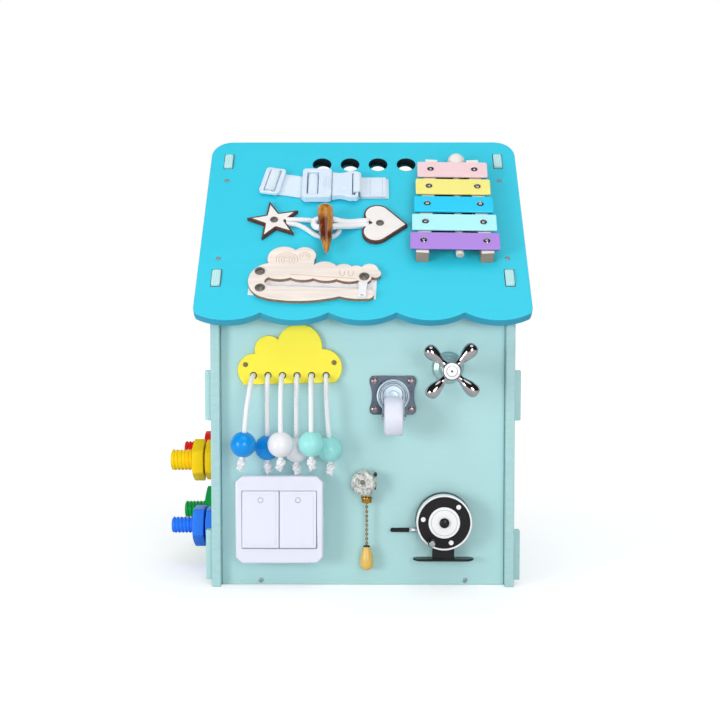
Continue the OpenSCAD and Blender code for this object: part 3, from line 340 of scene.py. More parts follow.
def ribbon(path, width, thickness):
    """Flat webbing along a path of (distance, height) points in the u-w plane.

    Its section is a squared oval, |cos a|^0.55 wide and |sin a|^0.3 thick with their signs, so the
    selvedges are round and the faces flat.
    """
    path = np.asarray(path, float)
    t = np.gradient(path, axis=0)
    t = t / np.linalg.norm(t, axis=1, keepdims=True)
    normal = np.stack([-t[:, 1], t[:, 0]], -1)
    sides = 28
    a = circle(sides, math.pi / sides)
    v = np.sign(np.cos(a)) * np.abs(np.cos(a)) ** 0.55 * width / 2
    w = np.sign(np.sin(a)) * np.abs(np.sin(a)) ** 0.3 * thickness / 2
    grid = np.empty((len(path), len(a), 3))
    grid[..., 0] = path[:, None, 0] + normal[:, None, 0] * w
    grid[..., 1] = v
    grid[..., 2] = path[:, None, 1] + normal[:, None, 1] * w
    return grid


def bevelled(outline, low, high, edge, steps=3):
    """Rows up a plate's side and over its edge, which is a quarter circle.

    At the angle q a row lies edge (1 - cos q) inside the outline and edge (1 - sin q) from the top.
    """
    p = np.asarray(outline, float)
    area = np.sum(p[:, 0] * np.roll(p[:, 1], -1) - np.roll(p[:, 0], -1) * p[:, 1])
    t = np.roll(p, -1, 0) - np.roll(p, 1, 0)
    n = np.stack([-t[:, 1], t[:, 0]], -1) * np.sign(area)
    n = n / np.linalg.norm(n, axis=1, keepdims=True)
    q = np.linspace(0, math.pi / 2, steps + 1)
    inset = np.concatenate([[0], edge * (1 - np.cos(q)), [edge + 0.15]])
    level = np.concatenate([[low], high - edge + edge * np.sin(q), [high]])
    rows = np.empty((len(inset), len(p), 3))
    rows[..., :2] = p + n * inset[:, None, None]
    rows[..., 2] = level[:, None]
    return rows


def polygon_radius(angle, sides, corner, start):
    """Distance to the edge of a regular polygon: apothem / cos of the angle from the edge's middle.

    A soft minimum with a slightly smaller circle, (a^-p + b^-p)^(-1/p), rounds its corners.
    """
    part, power = FULL / sides, 70.0
    edge = corner * math.cos(part / 2) / np.cos((angle - start) % part - part / 2)
    return (edge**-power + (0.985 * corner) ** -power) ** (-1 / power)


def even(path, step=1.0):
    """Path resampled by arc length into steps of equal length."""
    p = np.asarray(path, float)
    run = np.concatenate([[0], np.cumsum(np.linalg.norm(np.diff(p, axis=0), axis=1))])
    at = np.linspace(0, run[-1], max(3, int(round(run[-1] / step)) + 1))
    return np.stack([np.interp(at, run, p[:, k]) for k in range(p.shape[1])], -1)


def ring(inner, outer, low, high, radius=0.3, steps=2):
    """Closed section of a flat ring with rounded edges."""
    corners = [[inner, low], [outer, low], [outer, high], [inner, high]]
    return rounded(corners, radius, steps, closed=True)


def disc(radius, low, high, edge=0.4, dome=0.0):
    """Open profile of a disc, its edges rounded and its top bulged: dome (1 - r^2 / radius^2)."""
    side = rounded([[0, low], [radius, low], [radius, high], [0.5 * radius, high]], edge)
    top = np.linspace(0.4 * radius, 0, 4)
    side = np.concatenate([side, np.stack([top, np.full(4, high)], -1)])
    bulge = dome * (1 - (side[:, 0] / radius) ** 2)
    side[:, 1] += np.where(side[:, 1] > high - edge * 0.6, bulge, 0)
    return side


def rectangle(width, height, radius, steps=4):
    """Outline of a rectangle with rounded corners."""
    w, h = width / 2, height / 2
    return rounded([[-w, -h], [w, -h], [w, h], [-w, h]], radius, steps, closed=True)


def screw_head(size, shank, depth):
    """Domed head with a cross recess, on a square grid that is drawn out to a disk.

    x' = x sqrt(1 - y^2 / 2) and the same for y. The height is 1 - distance^3, less the recess where
    a point lies in one of two crossed bars. The rim drops to the shank as shrinking copies of it.
    """
    half = np.array([0.0, 0.11, 0.14, 0.3, 0.5, 0.58, 0.62, 0.8, 1.0])
    k = np.concatenate([-half[:0:-1], half])
    x, y = np.meshgrid(k, k, indexing="ij")
    half_bar, reach, tall, deep = 0.12, 0.6, 0.24 * size, 0.13 * size
    cut = np.minimum(np.abs(x), np.abs(y)) < half_bar
    cut = cut & (np.maximum(np.abs(x), np.abs(y)) < reach)
    u, v = x * np.sqrt(1 - y * y / 2), y * np.sqrt(1 - x * x / 2)
    far = np.hypot(u, v)
    w = tall * (0.4 + 0.6 * (1 - far**3)) - np.where(cut, deep, 0)
    top = np.stack([u * size / 2, v * size / 2, w], -1)
    n = len(k)
    edge = np.concatenate([top[:-1, 0], top[-1, :-1], top[:0:-1, -1], top[0, :0:-1]])
    scale = np.array([1.0, 1.0, shank / size, shank / size, 0.0])
    level = np.array([0.4 * tall, 0.0, 0.0, -depth, -depth])
    skirt = np.empty((5, 4 * (n - 1), 3))
    skirt[..., :2] = edge[None, :, :2] * scale[:, None, None]
    skirt[..., 2] = level[:, None]
    return top, skirt


# ---------------------------------------------------------------- pieces


class Piece:
    """Grids and faces that become one object, each part with its own material."""

    def __init__(self, name, place=None):
        self.name, self.place = name, place or (lambda p: p)
        self.points, self.faces, self.uvs, self.index, self.slots = [], [], [], [], []
        self.count = 0

    def grid(self, grid, material, wrap=(False, True), caps=False, place=None):
        """Adds a grid of points; wrap joins its last row or column to the first, caps close it.

        Its UV map is in metres: row and column times the mean distance between neighbours.
        """
        grid = np.asarray(grid, float)
        n, m = grid.shape[:2]
        i, j = np.meshgrid(
            np.arange(n - (not wrap[0])), np.arange(m - (not wrap[1])), indexing="ij"
        )
        i, j = i.ravel(), j.ravel()
        k, q = (i + 1) % n, (j + 1) % m
        faces = np.stack([i * m + j, k * m + j, k * m + q, i * m + q], -1).tolist()
        ahead = np.linalg.norm(np.diff(grid, axis=0), axis=-1).mean() * MM if n > 1 else 1
        aside = np.linalg.norm(np.diff(grid, axis=1), axis=-1).mean() * MM
        uvs = np.stack([i, j, i + 1, j, i + 1, j + 1, i, j + 1], -1).reshape(-1, 2)
        uvs = (uvs * (ahead, aside)).tolist()
        if caps:
            faces += [list(range(m)), list(range((n - 1) * m, n * m))]
            uvs += [[0.0, 0.0]] * (2 * m)
        return self.add(grid.reshape(-1, 3), faces, material, uvs, place)

    def add(self, points, faces, material, uvs=None, place=None):
        """Adds points and faces."""
        points = (place or self.place)(np.asarray(points, float))
        self.faces += [[v + self.count for v in f] for f in faces]
        self.points.append(points)
        self.count += len(points)
        self.uvs += uvs or [[0.0, 0.0]] * sum(len(f) for f in faces)
        if material not in self.slots:
            self.slots.append(material)
        self.index += [self.slots.index(material)] * len(faces)
        return self

    def slab(self, outline, low, high, edge, material, steps=3, place=None):
        """Adds a plate of an outline, its upper edge rounded."""
        rows = bevelled(outline, low, high, edge, steps)
        return self.grid(rows, material, caps=True, place=place)

    def screw(self, place, size, shank, depth, material):
        """Adds a cross-recessed screw that stands on the plane w = 0 of its place."""
        top, skirt = screw_head(size, shank, depth)
        self.grid(top, material, wrap=(False, False), place=place)
        return self.grid(skirt, material, place=place)

    def done(self, body, *nodes, slot=None, blend=None):
        """Makes the object, welds its seams, turns its faces outwards and hangs it on its body."""
        mesh = bpy.data.meshes.new(self.name)
        mesh.from_pydata((np.concatenate(self.points) * MM).tolist(), [], self.faces)
        layer = mesh.uv_layers.new(name="UVMap")
        layer.data.foreach_set("uv", np.asarray(self.uvs, np.float32).ravel())
        for name in self.slots:
            mesh.materials.append(finish(name))
        mesh.polygons.foreach_set("material_index", np.asarray(self.index, np.int32))
        bm = bmesh.new()
        bm.from_mesh(mesh)
        bmesh.ops.remove_doubles(bm, verts=bm.verts, dist=2e-6)
        bmesh.ops.recalc_face_normals(bm, faces=bm.faces)
        bm.to_mesh(mesh)
        bm.free()
        return hang(self.name, mesh, body, nodes, blend=blend)


def hang(name, mesh, body, nodes=(), sharp=38, blend=None):
    """Object of a mesh with smooth faces, sharp where they meet at an angle, on a body."""
    mesh.polygons.foreach_set("use_smooth", np.ones(len(mesh.polygons), bool))
    mesh.set_sharp_from_angle(angle=math.radians(sharp))
    obj = bpy.data.objects.new(name, mesh)
    bpy.context.scene.collection.objects.link(obj)
    if blend:
        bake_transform(obj, *blend)
    else:
        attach(obj, body)
    if nodes:
        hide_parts(*nodes)
    return obj


def mark_rim(mesh, axis, limit):
    """Face attribute that is 1 on sawn edges, where |normal . axis| is under the limit."""
    normals = np.empty(len(mesh.polygons) * 3, np.float32)
    mesh.polygons.foreach_get("normal", normals)
    rim = np.abs(normals.reshape(-1, 3) @ np.asarray(axis, np.float32)) < limit
    layer = mesh.attributes.new("rim", "FLOAT", "FACE")
    layer.data.foreach_set("value", rim.astype(np.float32))


def softened(
    node,
    material,
    edge,
    axis,
    rim=0.5,
    steps=2,
    border=0.0,
    least=0.0,
    flat_only=False,
):
    """Stands for a CAD node: its own mesh, welded, with its sharp edges rounded off.

    Edges shorter than least stay sharp, and with flat_only those that bound no face along the axis
    do too. Where border is more than 0, the faces that look along the axis get a flat margin of
    that width, which counts as rim.
    """
    source = frame["nodes"][node]
    bm = bmesh.new()
    bm.from_mesh(source.data)
    bmesh.ops.remove_doubles(bm, verts=bm.verts, dist=1e-5)
    bmesh.ops.dissolve_degenerate(bm, dist=2e-6, edges=bm.edges)
    bmesh.ops.dissolve_limit(bm, angle_limit=math.radians(0.8), verts=bm.verts, edges=bm.edges)
    if edge:
        bm.normal_update()
        sharp = [
            e
            for e in bm.edges
            if len(e.link_faces) == 2
            and e.calc_face_angle(0) > math.radians(32)
            and e.calc_length() >= least * MM
            and not (flat_only and all(abs(f.normal.dot(axis)) < 0.99 for f in e.link_faces))
        ]
        bmesh.ops.bevel(
            bm,
            geom=sharp,
            offset=edge * MM,
            offset_type="OFFSET",
            segments=steps,
            profile=0.5,
            affect="EDGES",
            clamp_overlap=False,
            miter_outer="ARC",
        )
        bmesh.ops.dissolve_degenerate(bm, dist=1e-6, edges=bm.edges)
    inner = []
    if border:
        bm.normal_update()
        flat = [f for f in bm.faces if sum(a * b for a, b in zip(f.normal, axis)) > 0.999]
        bmesh.ops.inset_region(bm, faces=flat, thickness=border * MM, use_even_offset=True)
        bm.faces.index_update()
        inner = [f.index for f in flat if f.is_valid]
    mesh = bpy.data.meshes.new(node + "_finished")
    bm.to_mesh(mesh)
    bm.free()
    for name in [a.name for a in mesh.attributes if a.name in ("custom_normal", "sharp_edge")]:
        mesh.attributes.remove(mesh.attributes[name])
    mesh.materials.clear()
    mesh.materials.append(finish(material))
    mesh.polygons.foreach_set("material_index", np.zeros(len(mesh.polygons), np.int32))
    mark_rim(mesh, axis, rim)
    if border:
        values = np.ones(len(mesh.polygons), np.float32)
        values[inner] = 0
        mesh.attributes["rim"].data.foreach_set("value", values)
    obj = hang(node + "_finished", mesh, source["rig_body"], [node], sharp=50)
    weights = obj.modifiers.new("Even shading", "WEIGHTED_NORMAL")
    weights.keep_sharp = True
    weights.weight = 90
    return obj


def coated(node, material):
    """Gives a CAD node whose shape stays its own finish."""
    obj = frame["nodes"][node]
    obj.data.materials.clear()
    obj.data.materials.append(finish(material))


# ---------------------------------------------------------------- finishes


# A Wave Texture of scale 1 repeats after this length
WAVE_LENGTH = 0.314


def feed(tree, socket, value):
    """Links a socket to a socket, or sets its own value."""
    if isinstance(value, bpy.types.NodeSocket):
        tree.links.new(value, socket)
    else:
        socket.default_value = (*value, 1) if socket.type == "RGBA" else value


def add_node(tree, kind, inputs=(), output=0, **settings):
    """Adds a shader node, feeds its inputs and returns one of its outputs."""
    node = tree.nodes.new("ShaderNode" + kind)
    for key, value in settings.items():
        setattr(node, key, value)
    for key, value in dict(inputs).items():
        feed(tree, node.inputs[key], value)
    return node.outputs[output] if node.outputs else None


def in_range(tree, value, low, high, to_low=0.0, to_high=1.0):
    """Value brought from one range to another and kept inside it."""
    inputs = {"Value": value, 1: low, 2: high, 3: to_low, 4: to_high}
    return add_node(tree, "MapRange", inputs)


class Finish:
    """Principled material with short calls for the nodes that feed it."""

    def __init__(self, name, **values):
        self.material = bpy.data.materials.new(name)
        self.material.use_nodes = True
        self.tree = self.material.node_tree
        self.body = self.tree.nodes["Principled BSDF"]
        self.set(**values)

    def set(self, **values):
        """Sets inputs of the shader, with _ for each space of their names."""
        for key, value in values.items():
            feed(self.tree, self.body.inputs[key.replace("_", " ")], value)
        return self

    def add(self, kind, inputs=(), output=0, **settings):
        """Adds a node and returns one of its outputs."""
        return add_node(self.tree, kind, inputs, output, **settings)

    def at(self, scale=(1, 1, 1), turn=(0, 0, 0), source="Object"):
        """Coordinates, stretched and turned in degrees."""
        point = self.add("TexCoord", output=source)
        turn = tuple(math.radians(v) for v in turn)
        return self.add("Mapping", {"Vector": point, "Scale": scale, "Rotation": turn})

    def noise(self, scale, detail=2.0, at=None, bend=0.0):
        """Cloudy noise from 0 to 1."""
        point = at or self.at()
        inputs = {"Vector": point, "Scale": scale, "Detail": detail, "Distortion": bend}
        return self.add("TexNoise", inputs, "Fac")

    def wave(self, pitch, at, bend=0.0, detail=0.0, axis="X"):
        """Bands from 0 to 1 across an axis, a pitch apart in millimetres."""
        scale = WAVE_LENGTH / (pitch * MM)
        inputs = {"Vector": at, "Scale": scale, "Distortion": bend, "Detail": detail}
        return self.add("TexWave", inputs, "Fac", bands_direction=axis)

    def mix(self, factor, a, b):
        """Mix of two colours."""
        return self.add("Mix", {0: factor, 6: a, 7: b}, 2, data_type="RGBA")

    def math(self, operation, a, b=0.0):
        """Sum, product or the like of two values."""
        return self.add("Math", {0: a, 1: b}, operation=operation)

    def between(self, value, low, high, to_low=0.0, to_high=1.0):
        """Value brought from one range to another and kept inside it."""
        return in_range(self.tree, value, low, high, to_low, to_high)

    def rim(self):
        """The sawn-edge attribute."""
        return self.add("Attribute", output="Fac", attribute_name="rim")

    def bump(self, height, distance):
        """Bump of a height from 0 to 1, where 1 stands for a distance in metres."""
        return self.set(Normal=self.add("Bump", {"Height": height, "Distance": distance}, "Normal"))


def paint(name, c, edge, roughness=0.42):
    """Sprayed paint: faintly cloudy, with fine orange peel and grain, and its own sawn edges."""
    s = Finish(name, Specular_IOR_Level=0.35)
    base = s.mix(s.noise(28, 3), shade(c, 0.965), shade(c, 1.025))
    grain = s.noise(40, 3, s.at((0.35, 6, 6)))
    base = s.mix(s.between(grain, 0.35, 0.7, 0.0, 0.35), base, shade(c, 0.95))
    layers = s.mix(s.noise(300, 2, s.at((0.2, 1, 1))), edge, shade(edge, 0.82))
    base = s.mix(s.rim(), base, layers)
    rough = s.between(s.noise(90, 2), 0.3, 0.7, roughness - 0.05, roughness + 0.06)
    s.set(Base_Color=base, Roughness=rough)
    height = s.math("ADD", s.noise(1400, 1), s.math("MULTIPLY", grain, 1.5))
    return s.bump(height, 2e-5).material


def layered(name, c):
    """Painted end of a board whose plies show through as lines across x."""
    s = Finish(name, Roughness=0.5, Specular_IOR_Level=0.3)
    plies = s.wave(2.1, s.at(), bend=0.6, detail=1)
    s.set(Base_Color=s.mix(s.between(plies, 0.1, 0.5), shade(c, 0.86), c))
    return s.bump(plies, 1.5e-4).material


def lacquer(name, c):
    """Thick gloss lacquer on turned wood, with faint grain under it."""
    s = Finish(name, Roughness=0.3, Specular_IOR_Level=0.2, Coat_Weight=0.4, Coat_Roughness=0.04)
    grain = s.noise(55, 4, s.at((1, 1, 0.12)))
    s.set(Base_Color=s.mix(s.between(grain, 0.4, 0.7, 0, 0.5), c, shade(c, 0.9)))
    return s.bump(s.noise(160, 2), 2e-5).material


def plastic(name, c, roughness=0.32, coat=0.15, flow=0.04, **more):
    """Moulded plastic: slight flow marks and a very fine spark-eroded skin."""
    s = Finish(name, Coat_Weight=coat, Coat_Roughness=0.12, **more)
    s.set(Base_Color=s.mix(s.noise(22, 2, bend=1.5), shade(c, 1 - flow), shade(c, 1 + flow)))
    s.set(Roughness=s.between(s.noise(70, 3), 0.3, 0.7, roughness - 0.02, roughness + 0.03))
    return s.bump(s.noise(1800, 1), 8e-6).material


def metal(name, c, roughness, stain=0.06):
    """Bare or plated metal, its tone and its roughness uneven."""
    s = Finish(name, Metallic=1.0)
    s.set(Base_Color=s.mix(s.noise(60, 3), shade(c, 1 - stain), shade(c, 1 + stain)))
    spots = s.noise(240, 3)
    s.set(Roughness=s.between(spots, 0.3, 0.7, max(0.02, roughness * 0.6), roughness * 1.5))
    return s.bump(spots, 4e-6).material


def plywood(name, c, burnt):
    """Bare plywood: long grain, small pores, and edges that the laser burnt brown."""
    s = Finish(name, Roughness=0.62)
    grain = s.noise(26, 6, s.at((0.5, 7, 7)), bend=0.6)
    pores = s.noise(260, 2, s.at((0.12, 3, 3)))
    base = s.mix(s.between(grain, 0.3, 0.72), shade(c, 1.03), shade(c, 0.84))
    base = s.mix(s.between(pores, 0.6, 0.75, 0, 0.45), base, shade(c, 0.66))
    edge = s.mix(s.between(s.noise(180, 3), 0.35, 0.65), burnt, shade(burnt, 0.45))
    s.set(Base_Color=s.mix(s.math("MULTIPLY", s.rim(), 0.895), base, edge))
    return s.bump(s.math("ADD", grain, pores), 5e-5).material


def woven(name, c, across=1.1, along=1.3, depth=1.6e-4):
    """Woven webbing on its own UV map: ribs across it and crossing yarns, and a soft sheen."""
    s = Finish(name, Roughness=0.72, Sheen_Weight=0.35, Sheen_Roughness=0.4)
    uv = s.at(source="UV")
    rib = s.wave(across, uv)
    yarn = s.wave(along, uv, axis="Y")
    slant = s.wave(1.6, s.at(turn=(0, 0, 45), source="UV"))
    height = s.math("ADD", s.math("MULTIPLY", rib, yarn), s.math("MULTIPLY", slant, 0.5))
    shadow = s.between(height, 0.0, 0.6, 0.5, 0.0)
    base = s.mix(s.noise(120, 2), shade(c, 0.97), shade(c, 1.02))
    s.set(Base_Color=s.mix(shadow, base, shade(c, 0.9)))
    return s.bump(height, depth).material


def braided(name, c, pitch=2.6):
    """Round braid on its own UV map: two families of strands that cross over each other, with painted shade
    in the hollows between them.
    """
    s = Finish(name, Roughness=0.78, Sheen_Weight=0.5, Sheen_Roughness=0.5)
    left = s.wave(pitch, s.at(turn=(0, 0, 38), source="UV"))
    right = s.wave(pitch, s.at(turn=(0, 0, -38), source="UV"))
    height = s.math("MAXIMUM", left, right)
    fibre = s.noise(2200, 2, s.at((1, 0.2, 1), source="UV"))
    # Lower strands darker: painted shade in the hollows of the braid
    s.set(Base_Color=s.mix(s.between(height, 0.2, 0.7, 0.5, 0.0), c, shade(c, 0.78)))
    return s.bump(s.math("ADD", height, s.math("MULTIPLY", fibre, 0.4)), 2e-4).material


def horn(name):
    """Polished horn: dark brown with amber streaks and spots, paler at its top and its foot.

    Top and foot are told by their height above the ground in metres.
    """
    s = Finish(name, Roughness=0.16, Coat_Weight=0.8, Coat_Roughness=0.04)
    streak = s.noise(150, 4, s.at((1, 0.14, 0.14)), bend=0.6)
    height = s.add("SeparateXYZ", {"Vector": s.add("TexCoord", output="Object")}, "Z")
    wander = s.math("ADD", height, s.math("MULTIPLY", s.noise(180, 2), 0.008))
    top = s.between(wander, 0.3705, 0.3775)
    foot = s.between(height, 0.35, 0.341, 0, 0.8)
    amber = s.math("ADD", s.math("MAXIMUM", top, foot), s.between(streak, 0.54, 0.6, 0, 0.9))
    base = s.mix(s.between(streak, 0.36, 0.5), tint("240a04"), tint("6e2a08"))
    base = s.mix(s.math("MULTIPLY", amber, 0.9), base, tint("c98a35"))
    base = s.mix(s.between(s.noise(260, 3), 0.56, 0.66, 0, 0.55), base, tint("3a1606"))
    s.set(Base_Color=base)
    return s.bump(streak, 3e-5).material


def foil(name):
    """Clear shell over crumpled silvery works: painted reflections of the facets as light and dark patches,
    with dark specks and chips, under a clear coat.
    """
    s = Finish(name, Metallic=0.2, Roughness=0.35, Coat_Weight=1.0, Coat_Roughness=0.05)
    chips = s.add("TexVoronoi", {"Vector": s.at(), "Scale": 480.0}, "Distance")
    patch = s.noise(260, 3, bend=0.8)
    # Light and dark patches: painted reflections of the crumpled facets
    base = s.mix(s.between(patch, 0.36, 0.5), tint("a0a29c"), tint("dadcd6"))
    base = s.mix(s.between(s.noise(420, 2), 0.6, 0.66), base, tint("77756c"))
    s.set(Base_Color=s.mix(s.between(chips, 0.55, 0.75, 0, 0.5), base, tint("77756a")))
    return s.bump(s.math("ADD", chips, patch), 4e-4).material


def charm_face(name):
    """White face with faint grain, its border and sides burnt red-brown."""
    s = Finish(name, Roughness=0.5)
    grain = s.noise(40, 4, s.at((0.5, 6, 6)))
    face = s.mix(s.between(grain, 0.4, 0.7, 0, 0.5), tone("charm"), shade(tone("charm"), 0.93))
    edge = s.mix(s.between(s.noise(220, 3), 0.35, 0.7), tone("burnt"), shade(tone("burnt"), 0.55))
    s.set(Base_Color=s.mix(s.rim(), face, edge))
    return s.bump(grain, 3e-5).material


def frayed_yarn(name):
    """Loose yarn: fine strands along the piece."""
    s = Finish(name, Roughness=0.85, Sheen_Weight=0.6, Sheen_Roughness=0.5)
    strands = s.noise(1500, 3, s.at((0.12, 1, 1), source="UV"))
    s.set(Base_Color=s.mix(s.between(strands, 0.35, 0.6), shade(tone("cord"), 0.72), tone("cord")))
    return s.bump(strands, 5e-4).material


FINISHES = {
    "wall_paint": lambda n: paint(n, tone("wall"), shade(tone("wall"), 0.99)),
    # Painted light: the tab caps' paint is the wall paint made 1.2 times lighter, as their upturned tops
    # catch more light
    "tab_paint": lambda n: layered(n, shade(tone("wall"), 1.2)),
    "roof_paint": lambda n: paint(n, tone("roof"), tone("roof_edge"), 0.4),
    "cloud_paint": lambda n: paint(n, tone("cloud"), tone("cloud_edge"), 0.38),
    "charm_face": charm_face,
    "small_screw": lambda n: plastic(n, tint("a6b6bb"), 0.42, 0.2, 0.08, Metallic=0.5),
    "dull_screw": lambda n: plastic(n, tint("8b7f58"), 0.45, 0.1, 0.1, Metallic=0.5),
    "pan_screw": lambda n: plastic(n, tint("8a867f"), 0.36, 0.2, 0.1, Metallic=0.65),
    "bright_screw": lambda n: metal(n, tint("c9c9cc"), 0.16),
    "caster_screw": lambda n: metal(n, tint("a9999b"), 0.3),
    "cord_yarn": lambda n: braided(n, tone("cord")),
    "cord_fray": frayed_yarn,
    "blue_lacquer": lambda n: lacquer(n, tone("blue_bead")),
    "white_lacquer": lambda n: lacquer(n, tone("white_bead")),
    "mint_lacquer": lambda n: lacquer(n, tone("mint_bead")),
    "switch_plastic": lambda n: plastic(n, tone("switch"), 0.3, 0.25, 0.01),
    "switch_mark": lambda n: plastic(n, tint("adb0c0"), 0.4),
    "dark_zinc": lambda n: metal(n, tint("636b79"), 0.34, stain=0.16),
    "pale_zinc": lambda n: plastic(n, tint("cfe0ee"), 0.4, 0.3, 0.06, Metallic=0.45),
    # Painted shade: darker rings standing for the gaps between the caster's races
    "race_gap": lambda n: metal(n, tint("66707c"), 0.4),
    "bright_zinc": lambda n: metal(n, tint("cdd3da"), 0.2, stain=0.08),
    "chrome": lambda n: metal(n, tint("c9c4c7"), 0.05, stain=0.02),
    # Painted reflection: the flange's chrome is tinted with the wall's teal, as if mirroring the wall
    "soft_chrome": lambda n: plastic(n, tint("b4d6d5"), 0.22, 0.4, 0.03, Metallic=0.55),
    "nylon": lambda n: plastic(n, tint("e2e4f2"), 0.42, 0.1, 0.02, Subsurface_Weight=0.1),
    "cap_plastic": lambda n: plastic(n, tint("f6f6f8"), 0.25, 0.5, 0.01),
    "cap_mark": lambda n: plastic(n, tint("3a3f48"), 0.4),
    "dark_steel": lambda n: metal(n, tint("4a4644"), 0.3),
    "brass": lambda n: metal(n, tint("c79640"), 0.2, stain=0.12),
    "chain_brass": lambda n: metal(n, tint("b3a37c"), 0.24, stain=0.12),
    "foil": foil,
    # Painted shade: dark strips for the gaps round the roof tabs and the groove where front and side walls
    # meet
    "gap_dark": lambda n: plastic(n, tint("4d5250"), 0.7, 0.0),
    # Painted shade: dark linings of the roof's peep holes and dark plugs in the pull switch's holes
    "hole_dark": lambda n: plastic(n, tint("10242c"), 0.6, 0.0),
    # Painted shade: dark brown in and round the cloud's cord holes
    "burnt_hole": lambda n: plastic(n, tint("3a3010"), 0.7, 0.0),
    # Painted shade: near-black undersides of the bars and a sheet on the roof under them, where shadow falls
    "bar_under": lambda n: plastic(n, tint("12242b"), 0.8, 0.0),
    "pull_lacquer": lambda n: lacquer(n, tone("pull")),
    "black_plastic": lambda n: plastic(n, tint("17181b"), 0.34, 0.15, 0.1, Specular_IOR_Level=0.3),
    "black_satin": lambda n: plastic(n, tint("1a181b"), 0.45, 0.0, 0.1, Specular_IOR_Level=0.25),
    "white_enamel": lambda n: plastic(n, tint("f4f4f5"), 0.22, 0.5, 0.01),
    "webbing": lambda n: woven(n, tone("webbing")),
    "stitching": lambda n: braided(n, tint("a9c4e4"), 0.6),
    "buckle_plastic": lambda n: plastic(n, tone("buckle"), 0.26, 0.4, 0.02),
    "horn": horn,
    "bare_ply": lambda n: plywood(n, tone("ply"), tint("93683f")),
    "burnt_line": lambda n: plywood(n, tint("d6b797"), tint("d6b797")),
    "zip_cloth": lambda n: woven(n, tint("f9faff"), 0.7, 0.7, 2e-5),
    "zip_teeth": lambda n: plastic(n, tint("f6f7fb"), 0.3),
    "zip_enamel": lambda n: plastic(n, tint("eceef2"), 0.25, 0.4),
    # Brown-grey rail ends and sides: partly the bare end grain, partly painted shade of the down-slope ends
    "rail_wood": lambda n: paint(n, tint("f3f1ec"), tint("b09482"), 0.5),
    "mallet_wood": lambda n: plywood(n, tint("f3eee6"), tint("d8c3a0")),
    "mallet_end": lambda n: plywood(n, tint("dcc0ac"), tint("d8c3a0")),
}
for bar in ("bar_1", "bar_2", "bar_3", "bar_4", "bar_5"):
    FINISHES[bar] = lambda n, c=bar: plastic(n, tone(c), 0.3, 0.2, 0.012)
for toy in ("toy_yellow", "toy_red", "toy_green", "toy_blue"):
    FINISHES[toy] = lambda n, c=toy: plastic(n, tone(c), 0.36, 0.0, Specular_IOR_Level=0.2)


def finish(name):
    """Material of a finish, made on its first use."""
    own = name + "_finish"
    return bpy.data.materials.get(own) or FINISHES[name](own)


# ---------------------------------------------------------------- stage


# Lens and place of the camera in metres, and how far it looks down and to the left in degrees
LENS = 57.5
CAMERA_AT = (0.0036, -1.278, 0.289)
CAMERA_DOWN, CAMERA_LEFT = 3.2, 0.32

# Strength of the world's light on the object
WORLD_LIGHT = 0.5
# Half side and height of the floor, its own glow near to the object and far off, and the distances
# where that glow starts and stops growing
FLOOR_REACH, FLOOR_LEVEL = 9, -2e-4
FLOOR_LIFT, FLOOR_FADE = (0.37, 0.66), (0.45, 1.6)
# Name, place, size and power of each lamp, and the point that they all shine at
LAMPS = (
    ("Key", (0.45, -1.95, 0.5), 0.8, 9.6),
    ("Fill", (-1.5, -1.6, 0.38), 0.8, 15.4),
    ("Top", (0.2, -0.9, 2.1), 1.6, 7.8),
    ("Back", (0.2, 1.6, 1.7), 1.2, 8.0),
)
LAMP_AIM = (0, 0, 0.2)


def grey(value):
    """Colour with three equal parts."""
    return (value, value, value)


def white_to_eye(tree, dull, bright, *others):
    """Shader that is bright for camera rays and the other rays named, and dull for the rest."""
    path = tree.nodes.new("ShaderNodeLightPath")
    total = path.outputs["Is Camera Ray"]
    for name in ("Is Transmission Ray", *others):
        total = add_node(tree, "Math", {0: total, 1: path.outputs[name]}, operation="MAXIMUM")
    return add_node(tree, "MixShader", {0: total, 1: dull, 2: bright})


def floor_finish():
    """Pale matt floor that lifts its own tone to white for the eye and keeps shadows."""
    material = bpy.data.materials.new("floor")
    material.use_nodes = True
    tree = material.node_tree
    tree.nodes.clear()
    matt = add_node(tree, "BsdfDiffuse", {"Color": grey(0.86)})
    bounce = add_node(tree, "BsdfDiffuse", {"Color": grey(0.74)})
    place = add_node(tree, "TexCoord", output="Object")
    far = add_node(tree, "VectorMath", {0: place}, "Value", operation="LENGTH")
    lift = in_range(tree, far, *FLOOR_FADE, *FLOOR_LIFT)
    glow = add_node(tree, "Emission", {"Strength": lift})
    seen = add_node(tree, "AddShader", {0: matt, 1: glow})
    add_node(tree, "OutputMaterial", {"Surface": white_to_eye(tree, bounce, seen)})
    return material


def surround():
    """World: soft even light, seen as white, with a dim studio side for reflections only."""
    world = bpy.data.worlds.new("Surround")
    bpy.context.scene.world = world
    world.use_nodes = True
    tree = world.node_tree
    tree.nodes.clear()
    soft = add_node(tree, "Background", {"Color": (0.97, 0.98, 1.0), "Strength": WORLD_LIGHT})
    white = add_node(tree, "Background", {"Color": grey(1)})
    dim = add_node(tree, "Background", {"Strength": 0.03})
    toward = add_node(tree, "TexCoord", output="Generated")
    toward = add_node(tree, "SeparateXYZ", {0: toward}, "Y")
    behind = in_range(tree, toward, 0.25, 0.65, 1.0, 0.0)
    glossy = add_node(tree, "LightPath", output="Is Glossy Ray")
    amount = add_node(tree, "Math", {0: behind, 1: glossy}, operation="MULTIPLY")
    studio = add_node(tree, "MixShader", {0: amount, 1: white, 2: dim})
    seen = white_to_eye(tree, soft, studio, "Is Glossy Ray")
    add_node(tree, "OutputWorld", {"Surface": seen})


def look_along(aim):
    """Angles that turn a lamp along a direction: a tilt from straight down, then a spin about z."""
    x, y, z = aim / np.linalg.norm(aim)
    return (math.acos(-z), 0, math.atan2(y, x) - math.pi / 2)


